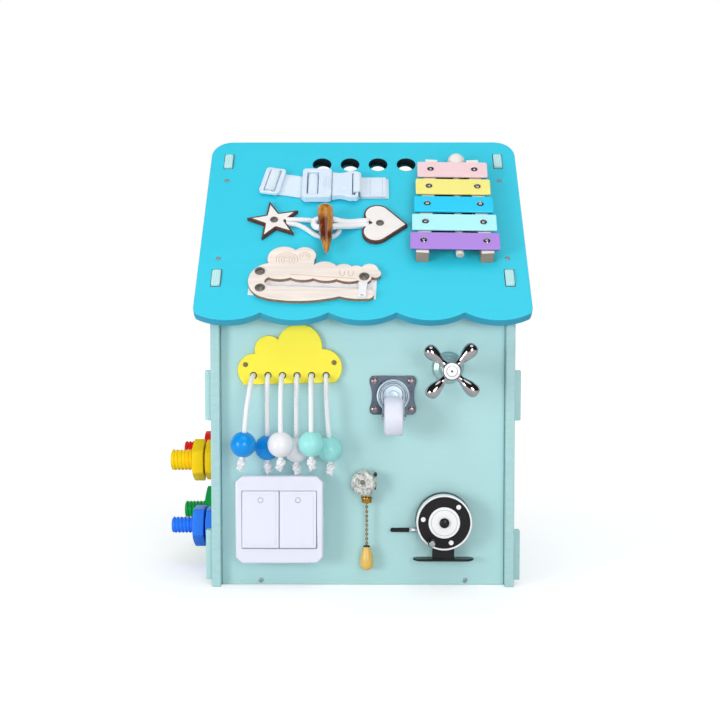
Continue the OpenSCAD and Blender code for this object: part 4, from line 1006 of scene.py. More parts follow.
class BUSY_OT_stage(Operator):
    """Camera, pale floor, soft lamps and white surround"""

    bl_idname = "busy.stage"
    bl_label = "Stage"

    def execute(self, context):
        context.scene.view_settings.view_transform = "Standard"
        lens = bpy.data.cameras.new("Camera")
        lens.lens, lens.sensor_width = LENS, 36
        camera = bpy.data.objects.new("Camera", lens)
        camera.location = CAMERA_AT
        camera.rotation_euler = (math.radians(90 - CAMERA_DOWN), 0, math.radians(CAMERA_LEFT))
        context.scene.collection.objects.link(camera)
        context.scene.camera = camera
        floor = bpy.data.meshes.new("floor")
        corners = [(x * FLOOR_REACH, y * FLOOR_REACH, FLOOR_LEVEL) for x, y in SQUARE]
        floor.from_pydata(corners, [], [(0, 1, 2, 3)])
        floor.materials.append(floor_finish())
        floor = bpy.data.objects.new("floor", floor)
        context.scene.collection.objects.link(floor)
        for name, place, size, power in LAMPS:
            lamp = bpy.data.lights.new(name, "AREA")
            lamp.shape, lamp.size, lamp.energy = "DISK", size, power
            lamp = bpy.data.objects.new(name, lamp)
            lamp.location = place
            lamp.rotation_euler = look_along(np.subtract(LAMP_AIM, place))
            context.scene.collection.objects.link(lamp)
        surround()
        return {"FINISHED"}


# ---------------------------------------------------------------- cords and beads


# Routes that the frame's bead cords follow: from the front end up through its bead, into a hole,
# round a loop in the house, out of the next hole and down through the rear bead
ROUTES = {
    "blue": [
        (-117.2, -178, 123.5), (-117, -178, 125.5), (-116.8, -178, 128), (-116.6, -178, 130.5),
        (-116.4, -178, 132.5), (-115, -178, 146), (-113.6, -178, 160), (-112.2, -178, 174),
        (-111.4, -177.5, 182), (-110, -174.5, 192), (-109, -168.5, 201), (-108.3, -160, 207.5),
        (-108, -151, 210.2), (-108, -143, 210.3), (-108, -133, 210.3), (-109.2, -125, 210.3),
        (-110.8, -117, 210.3), (-108.5, -109.5, 210.3), (-100.8, -106, 210.3),
        (-93.2, -109.5, 210.3), (-90.8, -117, 210.3), (-92.4, -125, 210.3), (-93.6, -133, 210.3),
        (-93.6, -143, 210.3), (-93.6, -147.5, 209.4), (-93.6, -151.5, 206.8),
        (-93.6, -154.3, 203), (-93.6, -155.7, 198), (-93.6, -156, 192), (-93.6, -156, 180),
        (-93.6, -156, 167), (-93.6, -156, 153), (-93.6, -156, 140), (-93.6, -156, 126.5),
        (-93.6, -156, 124.5), (-93.6, -156, 122), (-93.6, -156, 119.5), (-93.6, -156, 117.5),
    ],
    "white": [
        (-79, -178, 123.5), (-79, -178, 125.5), (-79, -178, 128), (-79, -178, 130.5),
        (-79, -178, 132.5), (-79, -178, 146), (-79, -178, 160), (-79, -178, 174),
        (-79, -177.5, 182), (-79.1, -174.5, 192), (-79.2, -168.5, 201), (-79.3, -160, 207.5),
        (-79.3, -151, 210.2), (-79.3, -143, 210.3), (-79.3, -133, 210.3), (-80.5, -125, 210.3),
        (-82.1, -117, 210.3), (-79.8, -109.5, 210.3), (-72.1, -106, 210.3),
        (-64.5, -109.5, 210.3), (-62.1, -117, 210.3), (-63.7, -125, 210.3), (-64.9, -133, 210.3),
        (-64.9, -143, 210.3), (-64.9, -147.5, 209.4), (-64.9, -151.5, 206.8), (-65, -154.3, 203),
        (-65, -155.7, 198), (-65, -156, 192), (-65, -156, 180), (-65, -156, 167),
        (-65, -156, 152), (-65, -156, 138), (-65, -156, 124.5), (-65, -156, 122.5),
        (-65, -156, 120), (-65, -156, 117.5), (-65, -156, 115.5),
    ],
    "mint": [
        (-49.6, -178, 124), (-49.6, -178, 126), (-49.6, -178, 128.5), (-49.6, -178, 131),
        (-49.6, -178, 133), (-49.6, -178, 146.5), (-49.6, -178, 160), (-49.6, -178, 174),
        (-49.7, -177.5, 182), (-49.9, -174.5, 192), (-50.2, -168.5, 201), (-50.5, -160, 207.5),
        (-50.6, -151, 210.2), (-50.6, -143, 210.3), (-50.6, -133, 210.3), (-51.8, -125, 210.3),
        (-53.4, -117, 210.3), (-51.1, -109.5, 210.3), (-43.4, -106, 210.3),
        (-35.8, -109.5, 210.3), (-33.4, -117, 210.3), (-35, -125, 210.3), (-36.2, -133, 210.3),
        (-36.2, -143, 210.3), (-36.2, -147.5, 209.4), (-36.1, -151.5, 206.8), (-36, -154.3, 203),
        (-35.9, -155.7, 198), (-35.7, -156, 192), (-35, -156, 180), (-34.2, -156, 167),
        (-33.3, -156, 152.5), (-32.5, -156, 138.5), (-31.7, -156, 125), (-31.5, -156, 123),
        (-31.4, -156, 120.5), (-31.2, -156, 118), (-31.1, -156, 116),
    ],
}
# Centre of each bead, and how far it leans to the right for each unit of its height
BEADS = {
    "blue_bead_front": (-115, -178, 146, 0.1),
    "blue_bead_rear": (-93.6, -156, 140, 0),
    "white_bead_front": (-79, -178, 146, 0),
    "white_bead_rear": (-65, -156, 138, 0),
    "mint_bead_front": (-49.6, -178, 146.5, 0),
    "mint_bead_rear": (-32.5, -156, 138.5, -0.06),
}
# How far the tails of a cord's front and rear knot swing out
SPLAYS = {
    "blue": ((-1.5, 0, 0), (2.5, -1, 0)),
    "white": ((-2.5, -1, 0), (1.5, -1, 0)),
    "mint": ((2.0, -1, 0), (-2.2, -1, 0)),
}


def bead_section():
    """Closed section of a bead: a circle down to the bore, then the bore with eased mouths."""
    across, bore = mm("bead") / 2, mm("bead_bore") / 2
    opening = math.asin(bore / across)
    turn = np.linspace(opening + 0.1, math.pi - opening - 0.1, 40)
    wall = np.stack([across * np.sin(turn), across * np.cos(turn)], -1)
    mouth = across * math.cos(opening) - 0.9
    wide, far = bore + 0.15, mouth + 0.4
    return np.concatenate([wall, points([wide, bore, bore, wide], [-far, -mouth, mouth, far])])


def leaning(at, lean):
    """Mapping of points round a bead's centre, its bore's axis leaning to the right."""
    tilt = math.atan(lean)
    c, s = math.cos(tilt), math.sin(tilt)

    def place(p):
        x, y, z = np.moveaxis(np.asarray(p, float), -1, 0)
        return np.stack([c * x + s * z, y, c * z - s * x], -1) + at

    return place


def add_knot(piece, centre, down, splay, phase):
    """Overhand knot and its frayed tail.

    The knot is a trefoil: (2 + cos 3a) (cos 2a, sin 2a) across the cord and sin 3a along it. The
    tail is a tube that widens, with lobed strands of uneven length at its end.
    """
    strands, sides = 9, 36
    a = np.linspace(0, FULL, 61) + phase
    wide = (2 + np.cos(3 * a)) * 1.06
    curl = np.stack([wide * np.cos(2 * a), wide * np.sin(2 * a), 1.5 * np.sin(3 * a)], -1)
    piece.grid(capsule_rows(curl + centre, 1.75, 10), "cord_yarn")
    t = np.linspace(0, 1, 9)[:, None]
    path = centre + down * (1.3 + 5.3 * t) + np.asarray(splay) * t**1.6
    angle = circle(sides)[None]
    size = 2.2 + 0.9 * t + 0.42 * t * np.cos(strands * angle + phase) + 0.2 * t * np.cos(4 * angle)
    tail = tube(path, size, sides)
    tail += down * (1.1 * t[..., None] ** 3 * np.cos(7 * angle + 2 * phase)[..., None])
    close = np.array([0.8, 0.45, 0.0])[:, None, None]
    tip = tail[-1].mean(0) + down * 0.5
    root = np.broadcast_to(tail[0].mean(0), (1, sides, 3))
    tail = np.concatenate([root, tail, tip + (tail[-1] - tip) * close])
    piece.grid(tail, "cord_fray")


class BUSY_OT_cords(Operator):
    """Three bead cords through the cloud, with knots, frayed tails and six beads"""

    bl_idname = "busy.cords"
    bl_label = "Cords and beads"

    def execute(self, context):
        section = bead_section()
        for node, (x, y, z, lean) in BEADS.items():
            kind = node.split("_")[0]
            bead = Piece(node + "_finished", leaning((x, y, z), lean))
            bead.grid(lathe(section, 56), kind + "_lacquer", wrap=(True, True))
            bead.done(frame["nodes"][node]["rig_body"], node, slot=kind + "_bead")
        for kind, route in ROUTES.items():
            route = np.array(route, float)
            cord = Piece("cord_" + kind + "_finished")
            cord.grid(capsule_rows(even(smooth_path(route), 1.6), mm("cord") / 2, 18), "cord_yarn")
            cord = cord.done("house", "cord_" + kind, slot="white_cord")
            knots = Piece("cord_" + kind + "_knots")
            for k, (end, knot, inward) in enumerate(((0, 2, 4), (-1, -3, -5))):
                down = route[end] - route[inward]
                down = down / np.linalg.norm(down)
                centre = route[knot] - down * 0.5
                add_knot(knots, centre, down, SPLAYS[kind][k], 0.9 * k + len(kind))
            knots = knots.done("house", slot="white_cord")
            mm("cord") * MM
        return {"FINISHED"}


# ---------------------------------------------------------------- house


class BUSY_OT_boards(Operator):
    """Floor, walls and roof panels with eased edges"""

    bl_idname = "busy.boards"
    bl_label = "House boards"

    def execute(self, context):
        edge = mm("board_edge")
        softened("floor_board", "wall_paint", edge, (0, 0, 1))
        for node in ("front_wall", "back_wall"):
            softened(node, "wall_paint", edge, FRONT_AXIS)
        for node in ("left_wall", "right_wall"):
            softened(node, "wall_paint", edge, SIDE_AXIS)
        softened("front_roof", "roof_paint", edge, ROOF_AXIS)
        softened("back_roof", "roof_paint", edge, BACK_ROOF_AXIS)
        trim = Piece("board_trim")
        hole_shade_ring = ring(9.85, 10.06, -8.3, -0.7, 0.05)
        slot_shade, tab = rectangle(10.4, 23.4, 0.8), rectangle(9, 20.4, 2.6)
        joint_shade = rectangle(0.8, 286, 0.39)
        tab_rows, line_x, line_height = (32, 203), 141, 143.5
        first_hole, hole_step, hole_row = -44.45, 30.3, 36.3
        for rear in (False, True):
            for x in (SIDE_MIDDLE, -SIDE_MIDDLE):
                for s in tab_rows:
                    place = turned_back(placed("roof", (x, s)), rear)
                    # Dark rim of the slot round each tab: painted shade in the gap
                    trim.slab(slot_shade, -0.6, 0.05, 0.04, "gap_dark", place=place)
                    place = shifted(place, (0, -0.6, 0))
                    # Tab caps in the lighter copy of the wall paint: painted light
                    trim.slab(tab, -0.5, 2.6, 1.3, "tab_paint", 5, place=place)
                line_at = (math.copysign(line_x, x), line_height)
                place = turned_back(placed("wall", line_at), rear)
                # Dark strip along the joint of front and side wall: painted shade in its groove
                trim.slab(joint_shade, -1.2, 0.03, 0.02, "gap_dark", place=place)
            for k in range(4):
                place = turned_back(placed("roof", (first_hole + hole_step * k, hole_row)), rear)
                # Dark lining in each peep hole: painted shade inside the hole
                trim.grid(lathe(hole_shade_ring, 56), "hole_dark", wrap=(True, True), place=place)
        trim.done("house", slot="wall_paint")
        return {"FINISHED"}


class BUSY_OT_screws(Operator):
    """Small wood screws of the house and pan screws of the fittings"""

    bl_idname = "busy.screws"
    bl_label = "Screws"

    def execute(self, context):
        self.wood_screws()
        self.pan_screws()
        return {"FINISHED"}

    def wood_screws(self):
        """Small screws of roof and wall, front and back, of the cloud and of the left wall."""
        long, short = 16, 13
        front = [placed("roof", (x, s)) for x in (-SIDE_MIDDLE, SIDE_MIDDLE) for s in (62.5, 176.5)]
        front += [placed("wall", (x, 4.5)) for x in (-102, 102)]
        spots = [(place, long) for place in front]
        spots += [(turned_back(place), long) for place in front]
        spots += [(placed("wall", at, 5), short) for at in ((-115.8, 221.1), (-28.4, 223.1))]
        left = placed("left", (-135.5, 218))
        spots.append((lambda p: left(p) * (-1, -1, 1), long))
        small = Piece("wood_screws_finished")
        for k, (place, depth) in enumerate(spots):
            steel = "small_screw" if depth == long else "dull_screw"
            small.screw(shifted(place, (0, 0, 0), 31 * k % 90), 5, 3, depth, steel)
        small.done("house", "wood_screws", slot="small_screw_steel")

    def pan_screws(self):
        """Larger screws of the crocodile, the star, the heart, the caster and the bars."""
        pans = Piece("pan_screws_finished")
        crocodile = placed("roof", CROCODILE_AT, 5.9, CROCODILE_TURN)
        for k, at in enumerate(((-54.4, 9.9), (-52.1, -12), (49.1, 7.4))):
            pans.screw(shifted(crocodile, (*at, 0), 20 + 50 * k), 10, 3.6, 12.9, "pan_screw")
        star = placed("roof", (-91.6, 125.9), 4.5, 25)
        heart = shifted(placed("roof", (14, 130.4), 4.5, -4), (3.4, 0, 0), 12)
        for place in (star, heart):
            pans.screw(place, 8, 3.6, 11.5, "pan_screw")
        for k, (a, b) in enumerate(SQUARE):
            corner = (CASTER_AT[0] + a * 18.15, CASTER_AT[1] + b * 14.1)
            pans.screw(placed("wall", corner, 2, 17 + 34 * k), 6.8, 3.6, 9, "caster_screw")
        bars = placed("roof", BARS_AT, 17, BARS_TURN)
        for i in range(5):
            for side in (-1, 1):
                at = (side * (23 + 2.12 * i), -BAR_STEP * i, 0)
                place = shifted(bars, at, 23 * (i + 2 * side) % 90)
                pans.screw(place, 7, 3.6, 12, "bright_screw")
        pans.done("house", "pan_screws", slot="pan_screw_steel")


class BUSY_OT_cloud(Operator):
    """Yellow cloud with darker sawn edges, and painted shade in and round its cord holes"""

    bl_idname = "busy.cloud"
    bl_label = "Cloud"

    def execute(self, context):
        softened("cloud", "cloud_paint", mm("fitting_edge"), FRONT_AXIS)
        holes = Piece("cloud_hole_shade")
        hole_shade_ring = ring(2.92, 3.55, -8.9, 5.06, 0.05)
        first, step, height = -108, 14.36, 210.3
        for k in range(6):
            place = placed("wall", (first + step * k, height))
            # Dark ring in and round each cord hole: painted shade
            holes.grid(lathe(hole_shade_ring, 32), "burnt_hole", wrap=(True, True), place=place)
        holes.done("house", slot="yellow_paint")
        return {"FINISHED"}


# ---------------------------------------------------------------- front fittings


# Depth of the surface box, size of the window that the rockers fill, and the rockers' tilt
BOX_DEPTH, WINDOW = 17, (73.4, 57)
ROCKER_TILT = math.radians(3.5)


def on_rocker(side):
    """Mapping of points on the face of the left (-1) or right (1) rocker, turned by its tilt."""
    base = placed("wall", SWITCH_AT)
    c, s = math.cos(ROCKER_TILT), math.sin(ROCKER_TILT)

    def place(p):
        u, v, w = np.moveaxis(np.asarray(p, float), -1, 0)
        return base(np.stack([u + side * 18.3, v * c + w * s, w * c - v * s + 18.1], -1))

    return place


class BUSY_OT_switch(Operator):
    """Surface box, plate and two rockers with raised panels and ring marks"""

    bl_idname = "busy.switch"
    bl_label = "Rocker switch"

    def execute(self, context):
        edge = mm("fitting_edge")
        softened("switch_box", "switch_plastic", edge, FRONT_AXIS)
        plate = Piece("switch_plate_finished", placed("wall", SWITCH_AT, BOX_DEPTH))
        rows = [bevelled(rectangle(86, 86.5, 6.4, 1), 0, 8, mm("plate_edge"), 5)]
        for grow, level in ((1.5, 8), (1.3, 8), (0.4, 7.7), (0, 6.9), (0, 0)):
            hole = rectangle(WINDOW[0] + 2 * grow, WINDOW[1] + 2 * grow, 0.6 + grow, 1)
            rows.append(np.column_stack([hole, np.full(len(hole), level)])[None])
        plate.grid(np.concatenate(rows), "switch_plastic", wrap=(True, True))
        plate.done("house", "switch_plate", slot="switch_plastic")
        mark = ring(2.1, 2.85, 7.5, 7.95, 0.15)
        for side, node in ((-1, "left_rocker"), (1, "right_rocker")):
            softened(
                node, "switch_plastic", 0.8, FRONT_AXIS, steps=3, least=1.5
            )
            panel = Piece(node + "_panel", on_rocker(side))
            panel.slab(rectangle(30.5, 50, 2, 4), 6.9, 7.75, 0.4, "switch_plastic")
            panel.grid(lathe(mark, 28, 2, (0, 19, 0)), "switch_mark", wrap=(True, True))
            panel.done(node, slot="switch_plastic")
        return {"FINISHED"}


class BUSY_OT_caster(Operator):
    """Swivel caster: waisted plate, raceway, fork, nylon wheel and riveted axle"""

    bl_idname = "busy.caster"
    bl_label = "Caster"

    def execute(self, context):
        softened("caster_plate", "dark_zinc", 0.35, FRONT_AXIS)
        softened("caster_fork", "bright_zinc", 0.25, FRONT_AXIS)
        coated("caster_axle", "bright_zinc")
        race = Piece("caster_raceway", placed("wall", CASTER_AT))
        a = circle(12)
        for radius, level, thick in ((15.1, 8.0, 1.15), (11.4, 8.4, 0.8)):
            section = np.stack([radius + thick * np.cos(a), level + thick * np.sin(a)], -1)
            race.grid(lathe(section, 64), "pale_zinc", wrap=(True, True))
        race.grid(lathe(disc(10.6, 8.2, 8.9, 0.3), 56), "pale_zinc")
        # Darker rings in the raceway's gaps: painted shade
        for inner in (9.6, 12.4, 13.6):
            gap = ring(inner, inner + 0.6, 8.2, 9.1, 0.1)
            race.grid(lathe(gap, 56), "race_gap", wrap=(True, True))
        race.grid(lathe(ring(12.9, 13.7, 8.2, 9.0, 0.2), 56), "pale_zinc", wrap=(True, True))
        race.done("caster_fork", slot="zinc")
        pin = Piece("caster_pin_cap", placed("wall", CASTER_AT))
        pin.grid(lathe(disc(5.3, 9.0, 10.4, 0.6, 0.3), 40), "pale_zinc")
        pin.done("house", slot="zinc")
        trail, reach = 18.3, 31
        axle = (CASTER_AT[0], CASTER_AT[1] - trail)
        wheel = Piece("caster_wheel_finished", placed("wall", axle, reach))
        half = points(
            [2.05, 5.2, 5.6, 8.4, 8.8, 14.6, 15.2, 16.8, 18.4, 19.0],
            [8.6, 8.6, 9.1, 9.1, 8.2, 8.2, 9.1, 9.1, 8.0, 5.6],
        )
        half = rounded(half, 0.45, 2)
        section = np.concatenate([half, half[::-1] * (1, -1)])
        wheel.grid(lathe(section, 72, 0), "nylon", wrap=(True, True))
        wheel.done("caster_wheel", "caster_wheel", slot="wheel_nylon")
        return {"FINISHED"}


class BUSY_OT_tap(Operator):
    """Cross-handle tap: flange, spindle, four drop-shaped arms, hub and cap"""

    bl_idname = "busy.tap"
    bl_label = "Tap handle"

    def execute(self, context):
        place = placed("wall", TAP_AT)
        flange = Piece("tap_flange_finished", place)
        bell = points(
            [5.3, 15.2, 16, 16, 13.4, 9.4, 8.2, 7.6, 5.3],
            [0.3, 0, 0.5, 1.6, 3.8, 5.2, 8, 14, 14],
        )
        bell = rounded(bell, 0.9, 3, closed=True)
        flange.grid(lathe(bell, 72), "soft_chrome", wrap=(True, True))
        flange.done("house", "tap_flange", slot="tap_chrome")
        coated("tap_spindle", "chrome")
        handle = Piece("tap_handle_finished", place)
        hub = points(
            [0, 5.05, 5.05, 7, 7.4, 9.1, 9.5, 9.3, 9.3, 8.8, 7.95, 7.95, 0],
            [50.5, 50.5, 34, 34, 36.5, 41, 44, 52, 55.2, 56, 56, 55, 55],
        )
        handle.grid(lathe(rounded(hub, 0.5, 3), 56), "chrome")
        drop = points(
            [3.9, 3.6, 3.5, 4.2, 5.4, 6.4, 6.8, 6.4, 4.9, 2.6, 0],
            [6, 9, 12, 15, 18.5, 22.5, 26.2, 29.4, 31.8, 33.1, 33.4],
        )
        arm = np.concatenate([[[0, 6]], smooth_path(drop, 3)])
        for k in range(4):
            spoke = shifted(place, (0, 0, 52), 47.5 + 90 * k)
            handle.grid(lathe(arm, 32, 0), "chrome", place=spoke)
        handle.done("tap_handle", "tap_handle", slot="tap_chrome")
        cap = Piece("tap_cap_finished", place)
        cap.grid(lathe(disc(7.9, 55.02, 56.6, 0.5, 0.7), 48), "cap_plastic")
        cap.grid(lathe(ring(7.6, 8.6, 55.5, 56.35, 0.2), 56), "cap_mark", wrap=(True, True))
        cap.grid(lathe(ring(4.9, 5.3, 56.5, 57.16, 0.08), 48), "cap_mark", wrap=(True, True))
        cap.grid(lathe(disc(1.1, 56.5, 57.4, 0.1), 20), "cap_mark")
        cap.done("tap_handle", "tap_cap", slot="cap_white")
        return {"FINISHED"}


class BUSY_OT_pull_switch(Operator):
    """Pull switch with a crumpled silvery body, brass nut, ball chain and wooden pull"""

    bl_idname = "busy.pull_switch"
    bl_label = "Pull switch"

    def execute(self, context):
        place = placed("wall", PULL_SWITCH_AT)
        body = Piece("pull_switch_finished", place)
        shell = rounded([[0, 0], [13, 0], [13, 15], [10.2, 18], [0, 18]], 1.6, 4)
        body.grid(lathe(shell, 56), "foil")
        neck = rounded([[2.3, 0], [4.8, 0], [4.8, 12], [2.3, 12]], 0.4, 2, closed=True)
        spout = lathe(neck, 32, 1, (2.7, -13.3, 9.5))
        body.grid(spout, "foil", wrap=(True, True))
        # Dark plugs in the body's two holes: painted shade
        for at in ((11.6, 8.4, 0), (10.6, -4.6, 0)):
            body.grid(lathe(disc(1.5, 6, 16.5, 0.6), 16, 2, at), "hole_dark")
        body.screw(shifted(place, (-1.5, 1.5, 17.9), 33), 5.2, 2.6, 5, "pan_screw")
        body.done("house", "pull_switch", slot="clear_plastic")
        chain_at = placed("wall", (3.9, 0), 9.5)
        nut = Piece("pull_switch_nut_finished", chain_at)
        section = points(
            [2.2, 4.6, 5, 5, 5.7, 5.7, 5, 4.8, 2.2],
            [84.6, 84.6, 85.1, 88, 88.2, 90, 90.2, 91.3, 91.3],
        )
        # Ribs round the nut below its rim: the radius times 1 + 0.02 cos(ribs a)
        sides, ribs, rim = 60, 20, 88
        grid = lathe(rounded(section, 0.25, 2, closed=True), sides, 1)
        swell = 1 + 0.02 * np.cos(ribs * circle(sides))[None, :, None] * (grid[:, :1, 1:2] < rim)
        grid = grid * np.concatenate([swell, np.ones_like(swell), swell], -1)
        nut.grid(grid, "brass", wrap=(True, True))
        nut.done("house", "pull_switch_nut", slot="brass")
        foot, ball, spacing = 39.5, 1.6, 4.5
        chain = Piece("bead_chain_finished", chain_at)
        turn = np.linspace(0, math.pi, 11)
        section = np.stack([ball * np.sin(turn), ball * np.cos(turn)], -1)
        for k in range(13):
            chain.grid(lathe(section, 18, 1, (0, foot + spacing * k, 0)), "chain_brass")
        wire = points([0, 0.6, 0.6, 0], [foot, foot, 95, 95])
        chain.grid(lathe(wire, 10, 1), "chain_brass")
        chain.done("bead_chain", "bead_chain", slot="brass")
        pull = Piece("chain_pull_finished", shifted(chain_at, (0, foot, 0)))
        drop = points(
            [2.2, 3.3, 3.7, 4.3, 5.3, 6.1, 6.5, 6.4, 5.3, 3.1, 0],
            [1.2, 1.1, -0.2, -2.4, -6, -9.6, -13, -16.6, -20.2, -21.9, -22.2],
        )
        section = np.concatenate([[[0, -2.0], [2.0, -2.0]], smooth_path(drop, 3)])
        pull.grid(lathe(section, 40, 1), "pull_lacquer")
        pull.grid(lathe(ring(2.35, 3.4, 0.8, 2.0, 0.4), 32, 1), "dark_steel", wrap=(True, True))
        pull.done("chain_pull", "chain_pull", slot="pull_wood")
        return {"FINISHED"}


def raise_foot_ends(mesh):
    """Thins the ends of the reel's foot from below.

    Below z = 34, z' = z + (30 - z) share, where the share grows by 1 / 36 for each unit past 12
    from the middle, up to a half.
    """
    spots = np.empty(len(mesh.vertices) * 3, np.float32)
    mesh.vertices.foreach_get("co", spots)
    spots = spots.reshape(-1, 3)
    x, z = spots[:, 0] / MM, spots[:, 2] / MM
    share = np.clip((np.abs(x - REEL_AT[0]) - 12) / 36, 0, 0.5)
    spots[:, 2] += np.where(z < 34, (30 - z) * share * MM, 0)
    mesh.vertices.foreach_set("co", spots.ravel())
    mesh.update()


class BUSY_OT_reel(Operator):
    """Small line reel: foot and flange, turning front with dots and crank knob, line guide"""

    bl_idname = "busy.reel"
    bl_label = "Line reel"

    def execute(self, context):
        stand = softened(
            "reel_frame", "black_plastic", 0.8, FRONT_AXIS, steps=3
        )
        raise_foot_ends(stand.data)
        place = placed("wall", REEL_AT, 12.5)
        hub = Piece("reel_hub", place)
        hub.grid(lathe(disc(4.9, 12.3, 14.2, 0.8, 1.2), 40), "black_plastic")
        hub.done("house", slot="black_plastic")
        spool = Piece("reel_spool_finished", place)
        drum = points([3.05, 25.8, 25.8, 3.05], [0, 0, 11.3, 11.3])
        rim = ring(25.5, 27.2, 0.6, 12.0, 0.6, 3)
        face = ring(3.05, 15.4, 10.9, 12.0, 0.4, 3)
        line = ring(12.4, 12.9, 11.8, 12.08, 0.1)
        spool.grid(lathe(drum, 96), "black_satin", wrap=(True, True))
        spool.grid(lathe(rim, 96), "white_enamel", wrap=(True, True))
        spool.grid(lathe(face, 72), "white_enamel", wrap=(True, True))
        # Grey ring for the groove round the centre disc: painted shade in the groove
        spool.grid(lathe(line, 72), "switch_mark", wrap=(True, True))
        dot_reach, crank_reach = 20.8, 22
        for turn in (47.8, 171, 289):
            a = math.radians(turn)
            at = (dot_reach * math.cos(a), dot_reach * math.sin(a), 0)
            spool.grid(lathe(disc(2.4, 11, 12.0, 0.4), 28, 2, at), "white_enamel")
        crank = math.radians(235)
        at = (crank_reach * math.cos(crank), crank_reach * math.sin(crank), 0)
        spool.grid(lathe(disc(1.5, 11, 24.6, 0.2), 16, 2, at), "bright_zinc")
        spool.grid(lathe(disc(2.9, 24.2, 25.4, 0.5), 24, 2, at), "bright_zinc")
        spool.done("reel_spool", "reel_spool", slot="spool_plastic")
        knob = Piece("reel_knob_finished", shifted(place, (at[0], at[1], 12)))
        section = points(
            [1.55, 2.6, 2.7, 3.7, 3.9, 3.9, 3.1, 1.55],
            [0, 0, 2.6, 6, 8, 10.6, 12, 12],
        )
        section = rounded(section, 0.8, 3, closed=True)
        knob.grid(lathe(section, 32), "black_plastic", wrap=(True, True))
        knob.done("reel_knob", "reel_knob", slot="black_plastic")
        guide = Piece("reel_guide_finished", placed("wall", (56.8, 57.2), 9))
        neck = rounded(points([0, 2.5, 2.5, 2.3, 0], [0, 0, 10.6, 11, 11]), 0.3, 2)
        rod = rounded(points([0, 2.2, 2.2, 1, 0], [10.8, 10.8, 28.4, 29.4, 29.4]), 0.5, 3)
        to_left = (1, -1)
        guide.grid(lathe(neck * to_left, 28, 0), "bright_zinc")
        guide.grid(lathe(rod * to_left, 28, 0), "black_satin")
        guide.done("house", "reel_guide", slot="black_plastic")
        return {"FINISHED"}


# ---------------------------------------------------------------- roof fittings


# Places across the roof of the socket's webbing bar and the plug's slot, and the socket's place
# down the roof
BAR_X, PLUG_SLOT, SOCKET_S = -52.95, -9.75, 76


class BUSY_OT_strap(Operator):
    """Webbing with slider and side-release buckle"""

    bl_idname = "busy.strap"
    bl_label = "Strap and buckle"

    def execute(self, context):
        self.left_webbing()
        for node in ("strap_slider", "buckle_socket", "buckle_plug"):
            softened(node, "buckle_plastic", 0.7, ROOF_AXIS, steps=3)
        grip = Piece("buckle_ribs", placed("roof", (-64, SOCKET_S), 10.5))
        for k in range(4):
            line = points(np.full(9, 22.5 + 2.2 * k), np.linspace(-9, 9, 9), np.full(9, 0.1))
            grip.grid(capsule_rows(line, 0.45, 8), "buckle_plastic")
        grip.done("house", slot="buckle_plastic")
        self.right_webbing()
        return {"FINISHED"}

    def left_webbing(self):
        """Webbing over the slider's bar, and its end folded round the socket's bar."""
        thick = mm("webbing")
        low, over_slider, over_bar = 0.3 + thick / 2, 7.05, 8.25
        left = Piece("left_strap_finished")
        path = points(
            [-53.8, -48.2, -48.2, -39.4, -39.4, -25, -10],
            [low, low, over_slider, over_slider, low, low + 0.35, low],
        )
        path = even(rounded(path, 2.2, 5), 0.8)
        turned = placed("roof", (BAR_X, SOCKET_S), 0, -11)
        left.grid(ribbon(path, 32, thick), "webbing", caps=True, place=turned)
        path = points([-12.5, 4.4, 4.4, -4.4, -4.4], [low, low, over_bar, over_bar, 3.35])
        path = even(rounded(path, 2.0, 5), 0.8)
        straight = placed("roof", (BAR_X, SOCKET_S))
        left.grid(ribbon(path, 32, thick), "webbing", caps=True, place=straight)
        left.done("house", "left_strap", slot="webbing")

    def right_webbing(self):
        """Webbing round the plug's bar, doubled back and sewn with two rows of stitches."""
        thick, line = mm("webbing"), 75.8
        low, over_plug, doubled = 0.3 + thick / 2, 10.7, 2.95
        right = Piece("right_strap_finished", placed("roof", (0, line)))
        back = PLUG_SLOT + 7.2
        path = points(
            [27, PLUG_SLOT, PLUG_SLOT, back, back, 24],
            [low, low, over_plug, over_plug, doubled, doubled],
        )
        path = even(rounded(path, 2.2, 5), 0.8)
        right.grid(ribbon(path, 30, thick), "webbing", caps=True)
        for row in (7.5, 20.5):
            for v in np.linspace(-12, 12, 13):
                stitch = np.array([[row, v - 0.6, 3.72], [row, v, 3.82], [row, v + 0.6, 3.72]])
                right.grid(capsule_rows(stitch, 0.24, 6), "stitching")
        fixed, moving = (on_roof([(20, line, 1), (4, line, 1)]) * MM).tolist()
        blend = ("house", "buckle_plug", fixed, moving)
        right.done(None, "right_strap", slot="webbing", blend=blend)


# Routes across, down and out of the roof. The elastic loop's is the frame's. The toggle's cord is
# up to 3 off the frame's, because the toggle hangs lower.
LOOP_ROUTE = [
    (-79, 124, 2.7), (-70, 124, 2.7), (-60, 124.4, 2.7), (-50, 125.6, 2.7), (-40, 126.6, 2.7),
    (-32, 127.6, 2.7), (-26.5, 131, 2.7), (-24, 138, 2.7), (-26.5, 145, 2.7), (-32, 149, 2.7),
    (-40, 149.6, 2.7), (-48, 146.5, 2.7), (-55, 140.5, 2.7), (-62, 134.8, 2.7), (-69, 131, 2.7),
    (-77.5, 129.8, 2.7),
]
TOGGLE_ROUTE = [
    (3.5, 126.8, 3.6), (-5, 128, 3.9), (-12, 130.4, 5.4), (-18, 132.6, 7.8), (-24, 134, 10.4),
    (-29, 134.4, 12.6), (-34, 134.4, 13.4), (-43, 134.4, 13.4), (-47.2, 135, 13.4),
    (-49.3, 137.4, 13.4), (-49.8, 140.2, 13.4), (-49.3, 143, 13.4), (-47.2, 145.4, 13.4),
    (-43, 146, 13.4), (-34, 145.6, 13.4), (-29, 144, 12.6), (-24, 141, 10.4), (-18, 138.4, 7.8),
    (-12, 136, 5.4), (-5, 133.5, 3.9), (3.5, 132.2, 3.6),
]


